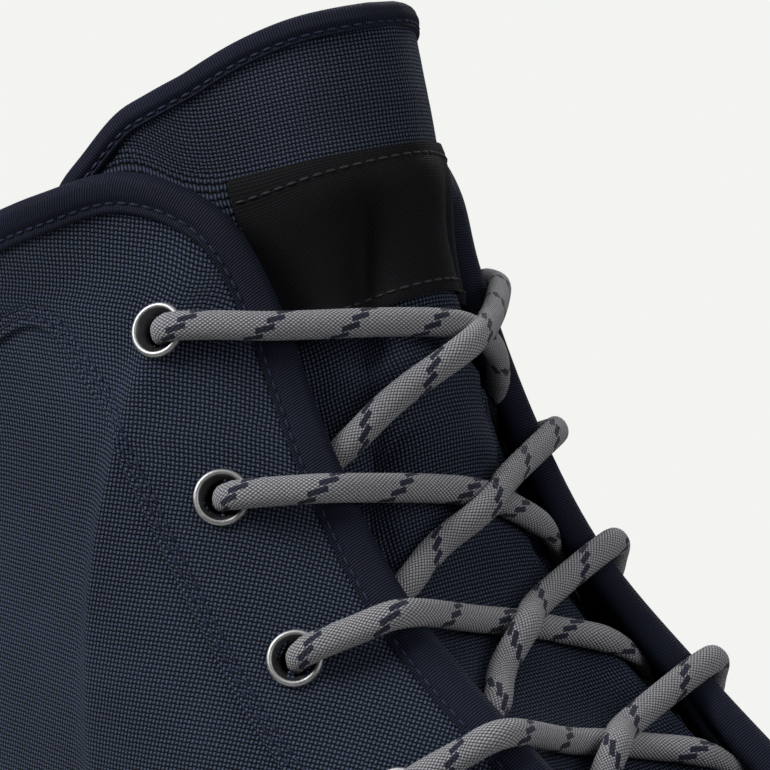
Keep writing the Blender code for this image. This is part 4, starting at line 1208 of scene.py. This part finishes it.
# %% [markdown]
# The lace is a round braid, pressed slightly oval: light grey yarns cross each other at a
# slant, and short dashes of navy show where a tracer yarn comes to the surface. Its UV map
# holds the length along the lace and the way round it, so the slanted yarns are straight
# lines in that plane.

# %% The braid
BRAID_PITCH, BRAID_SLANT, LACE_ROUND, LACE_SIDES = 0.80, 1.25, 13.7, 20
TRACER_REPEAT, DASHES_ROUND, DASH_LONG, DASH_HIGH, DASH_SLANT = 13.7, 8, 1.45, 0.50, 0.30


def braided():
    finish = Finish("braided lace", 0.7, Sheen_Weight=0.05, Sheen_Roughness=0.5,
                    Specular_IOR_Level=0.2)
    x, y = finish.threads()
    left, right_hand = (x + y * BRAID_SLANT) / BRAID_PITCH, (x - y * BRAID_SLANT) / BRAID_PITCH
    over = ((left.reckon("FLOOR") + right_hand.reckon("FLOOR")) % 2) > 0.5
    wide, high = left.hump(), right_hand.hump()
    yarns = over * wide * high ** 0.4 + (1 - over) * high * wide ** 0.4
    fibres = finish.cloud(4200, 2)
    # the grey goes near black between the yarns and light on their crests: painted shade and
    # highlight, besides the bump; the navy dashes are the tracer yarn's own colour, shaded the
    # same way
    tone = yarns * 0.85 + fibres * 0.40 - 0.20
    grey = finish.blend(tone.reckon("MINIMUM", 1.0), (0.012, 0.012, 0.014), (0.330, 0.330, 0.355))
    dash_pitch = LACE_ROUND / DASHES_ROUND
    number = (y / dash_pitch).reckon("FLOOR")
    run = (x - number * (TRACER_REPEAT / DASHES_ROUND)) % TRACER_REPEAT - TRACER_REPEAT / 2
    rise = y - (number + 0.5) * dash_pitch - run * DASH_SLANT
    dash = (run.reckon("ABSOLUTE") < DASH_LONG) * (rise.reckon("ABSOLUTE") < DASH_HIGH)
    navy = finish.blend(tone, (0.002, 0.0025, 0.008), (0.009, 0.012, 0.034))
    colour = finish.blend(dash, grey, navy)
    return finish.wear(colour, yarns + fibres * 0.3, 0.2, 0.78 - yarns * 0.12)


turns = np.linspace(0, 2 * math.pi, LACE_SIDES + 1)
runs = unit(np.gradient(lace[:, :3], axis=0))
places, threads = [], []
for post, run, arc in zip(lace, runs, lace_arcs):
    across = unit(np.cross(run, post[3:6]))
    up = np.cross(across, run)
    height = LACE_HEIGHT * post[6] / 2
    width = LACE_WIDTH / 2 * (1.0 if post[6] > 0.99 or post[6] < 0.8 else 0.92)
    section = (post[:3] + np.outer(width * np.cos(turns), across)
               + np.outer(height * np.sin(turns), up))
    places.append(section)
    threads.append(ribbon_threads(section, arc))
piece("braided_lace", closed(lift(places, threads)), [braided()],
      [f"lace_crossing_{number}" for number in range(1, EYELETS_A_SIDE)] + ["lace_bar"])

# %% [markdown]
# The sole is out of the picture but the boot stands on it. The midsole is moulded foam rubber
# with a groove round its side, the outsole keeps the solid's lugs with softened edges, and a
# lining board covers the sole's inside.

# %% Midsole and insole
RIB, MIDSOLE_PLAY, INSOLE, INSOLE_PLAY = 1.4, 0.3, 3.0, 0.8


def moulded(name, deep, light, roughness, grain=900, depth=0.08):
    finish = Finish(name, roughness, Specular_IOR_Level=0.4)
    pores = finish.cloud(grain, 3)
    scuffs = finish.cloud(60, 4)
    tone = pores * 0.35 + scuffs * 0.65
    return finish.wear(finish.blend(tone, deep, light), pores, depth,
                       roughness - 0.1 + scuffs * 0.2)


def sole_rings(levels):
    """Rings round the sole, each level being (height of x, how far out of the feather line)."""
    route = np.linspace(0, RING, OUTLINE_POINTS)
    rings = []
    for height, grow in levels:
        ring = np.array([sole_edge(u, grow) for u in route])
        ring[:, 2] = [height(x) for x in ring[:, 0]]
        rings.append(ring)
    return np.array(rings)


def sole_piece(name, levels, material, stands_for):
    rings = sole_rings(levels)
    threads = np.stack(np.meshgrid(np.arange(rings.shape[1]), np.arange(rings.shape[0])), axis=-1)
    piece(name, closed(lift(rings, threads)), [material], [stands_for])


def sole_level(share):
    """A height in the midsole, from just above its foot to just below its top."""
    def height(x):
        base = floor_line(x) + LUG_HEIGHT + OUTSOLE_BASE + MIDSOLE_PLAY
        return base * (1 - share) + (sole_top(x) - MIDSOLE_PLAY) * share
    return height


GROOVE_AT = (0.30, 0.345, 0.37, 0.40, 0.43, 0.455, 0.50)
GROOVE_IN = (0.0, 0.15, 0.75, 1.0, 0.75, 0.15, 0.0)
LOWER_EDGE = ((0.0, 3.0), (0.0, 1.0), (0.03, 0.4), (0.09, 0.0))
UPPER_EDGE = ((0.70, 0.2), (0.90, 0.5), (0.96, 0.9), (0.99, 1.6), (1.0, 2.4), (1.0, 9.0))
groove = tuple((share, RIB * deep) for share, deep in zip(GROOVE_AT, GROOVE_IN))
levels = [(sole_level(share), SOLE_LIP - back)
          for share, back in LOWER_EDGE + groove + UPPER_EDGE]
sole_piece("moulded_midsole", levels, moulded("foam rubber", (0.016, 0.017, 0.019),
                                              (0.034, 0.035, 0.038), 0.6),
           "midsole")
inset = -WALL - INSOLE_PLAY
board = [(sole_top, inset), (lambda x: sole_top(x) + INSOLE - 0.6, inset),
         (lambda x: sole_top(x) + INSOLE - 0.1, inset - 0.6),
         (lambda x: sole_top(x) + INSOLE, inset - 1.6)]
sole_piece("lining_board", board, moulded("lining board", (0.020, 0.020, 0.022),
                                          (0.060, 0.060, 0.064), 0.9, 2400, 0.15),
           "insole")

# %% [markdown]
# The outsole's solid has the right lugs, but knife-sharp edges, which no moulded rubber has. A
# copy of it is merged, its flat faces are made whole again, and its edges are bevelled.

# %% The outsole
MERGED, FLAT, CORNER = 1e-5, math.radians(2), math.radians(40)
EDGE_ROUND, LONG_EDGE = 0.55, 2 * MM
tread = bmesh.new()
tread.from_mesh(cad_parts["outsole"].data)
bmesh.ops.remove_doubles(tread, verts=tread.verts, dist=MERGED)
bmesh.ops.dissolve_limit(tread, angle_limit=FLAT, verts=tread.verts, edges=tread.edges)
corners = [edge for edge in tread.edges if edge.is_manifold
           and edge.calc_face_angle(0) > CORNER and edge.calc_length() > LONG_EDGE]
bmesh.ops.bevel(tread, geom=corners, offset=EDGE_ROUND * MM, affect="EDGES", segments=2,
                profile=0.5, material=-1, clamp_overlap=True)
piece("moulded_outsole", tread, [moulded("tread rubber", (0.006, 0.006, 0.0065),
                                         (0.018, 0.018, 0.019), 0.68)],
      ["outsole"])

# %% [markdown]
# The floor is plain and pale.

# %% Floor finish
pale = Finish("pale floor", 0.9, Emission_Color=ROOM, Emission_Strength=0.15,
              Specular_IOR_Level=0.1)
spot = pale.add("ShaderNodeTexCoord", {}, {}, "Object")
reach = pale.add("ShaderNodeVectorMath", {"operation": "LENGTH"}, {0: spot}, 1)
shown = (FLOOR_RADIUS - reach) / (FLOOR_RADIUS - FLOOR_FADES)
pale.feed(pale.shader.inputs["Alpha"], shown.reckon("MAXIMUM", 0.0).reckon("MINIMUM", 1.0))
pale.wear(pale.blend(pale.cloud(3), (0.50, 0.505, 0.49), (0.54, 0.545, 0.53)))
floor.data.materials.append(pale.material)
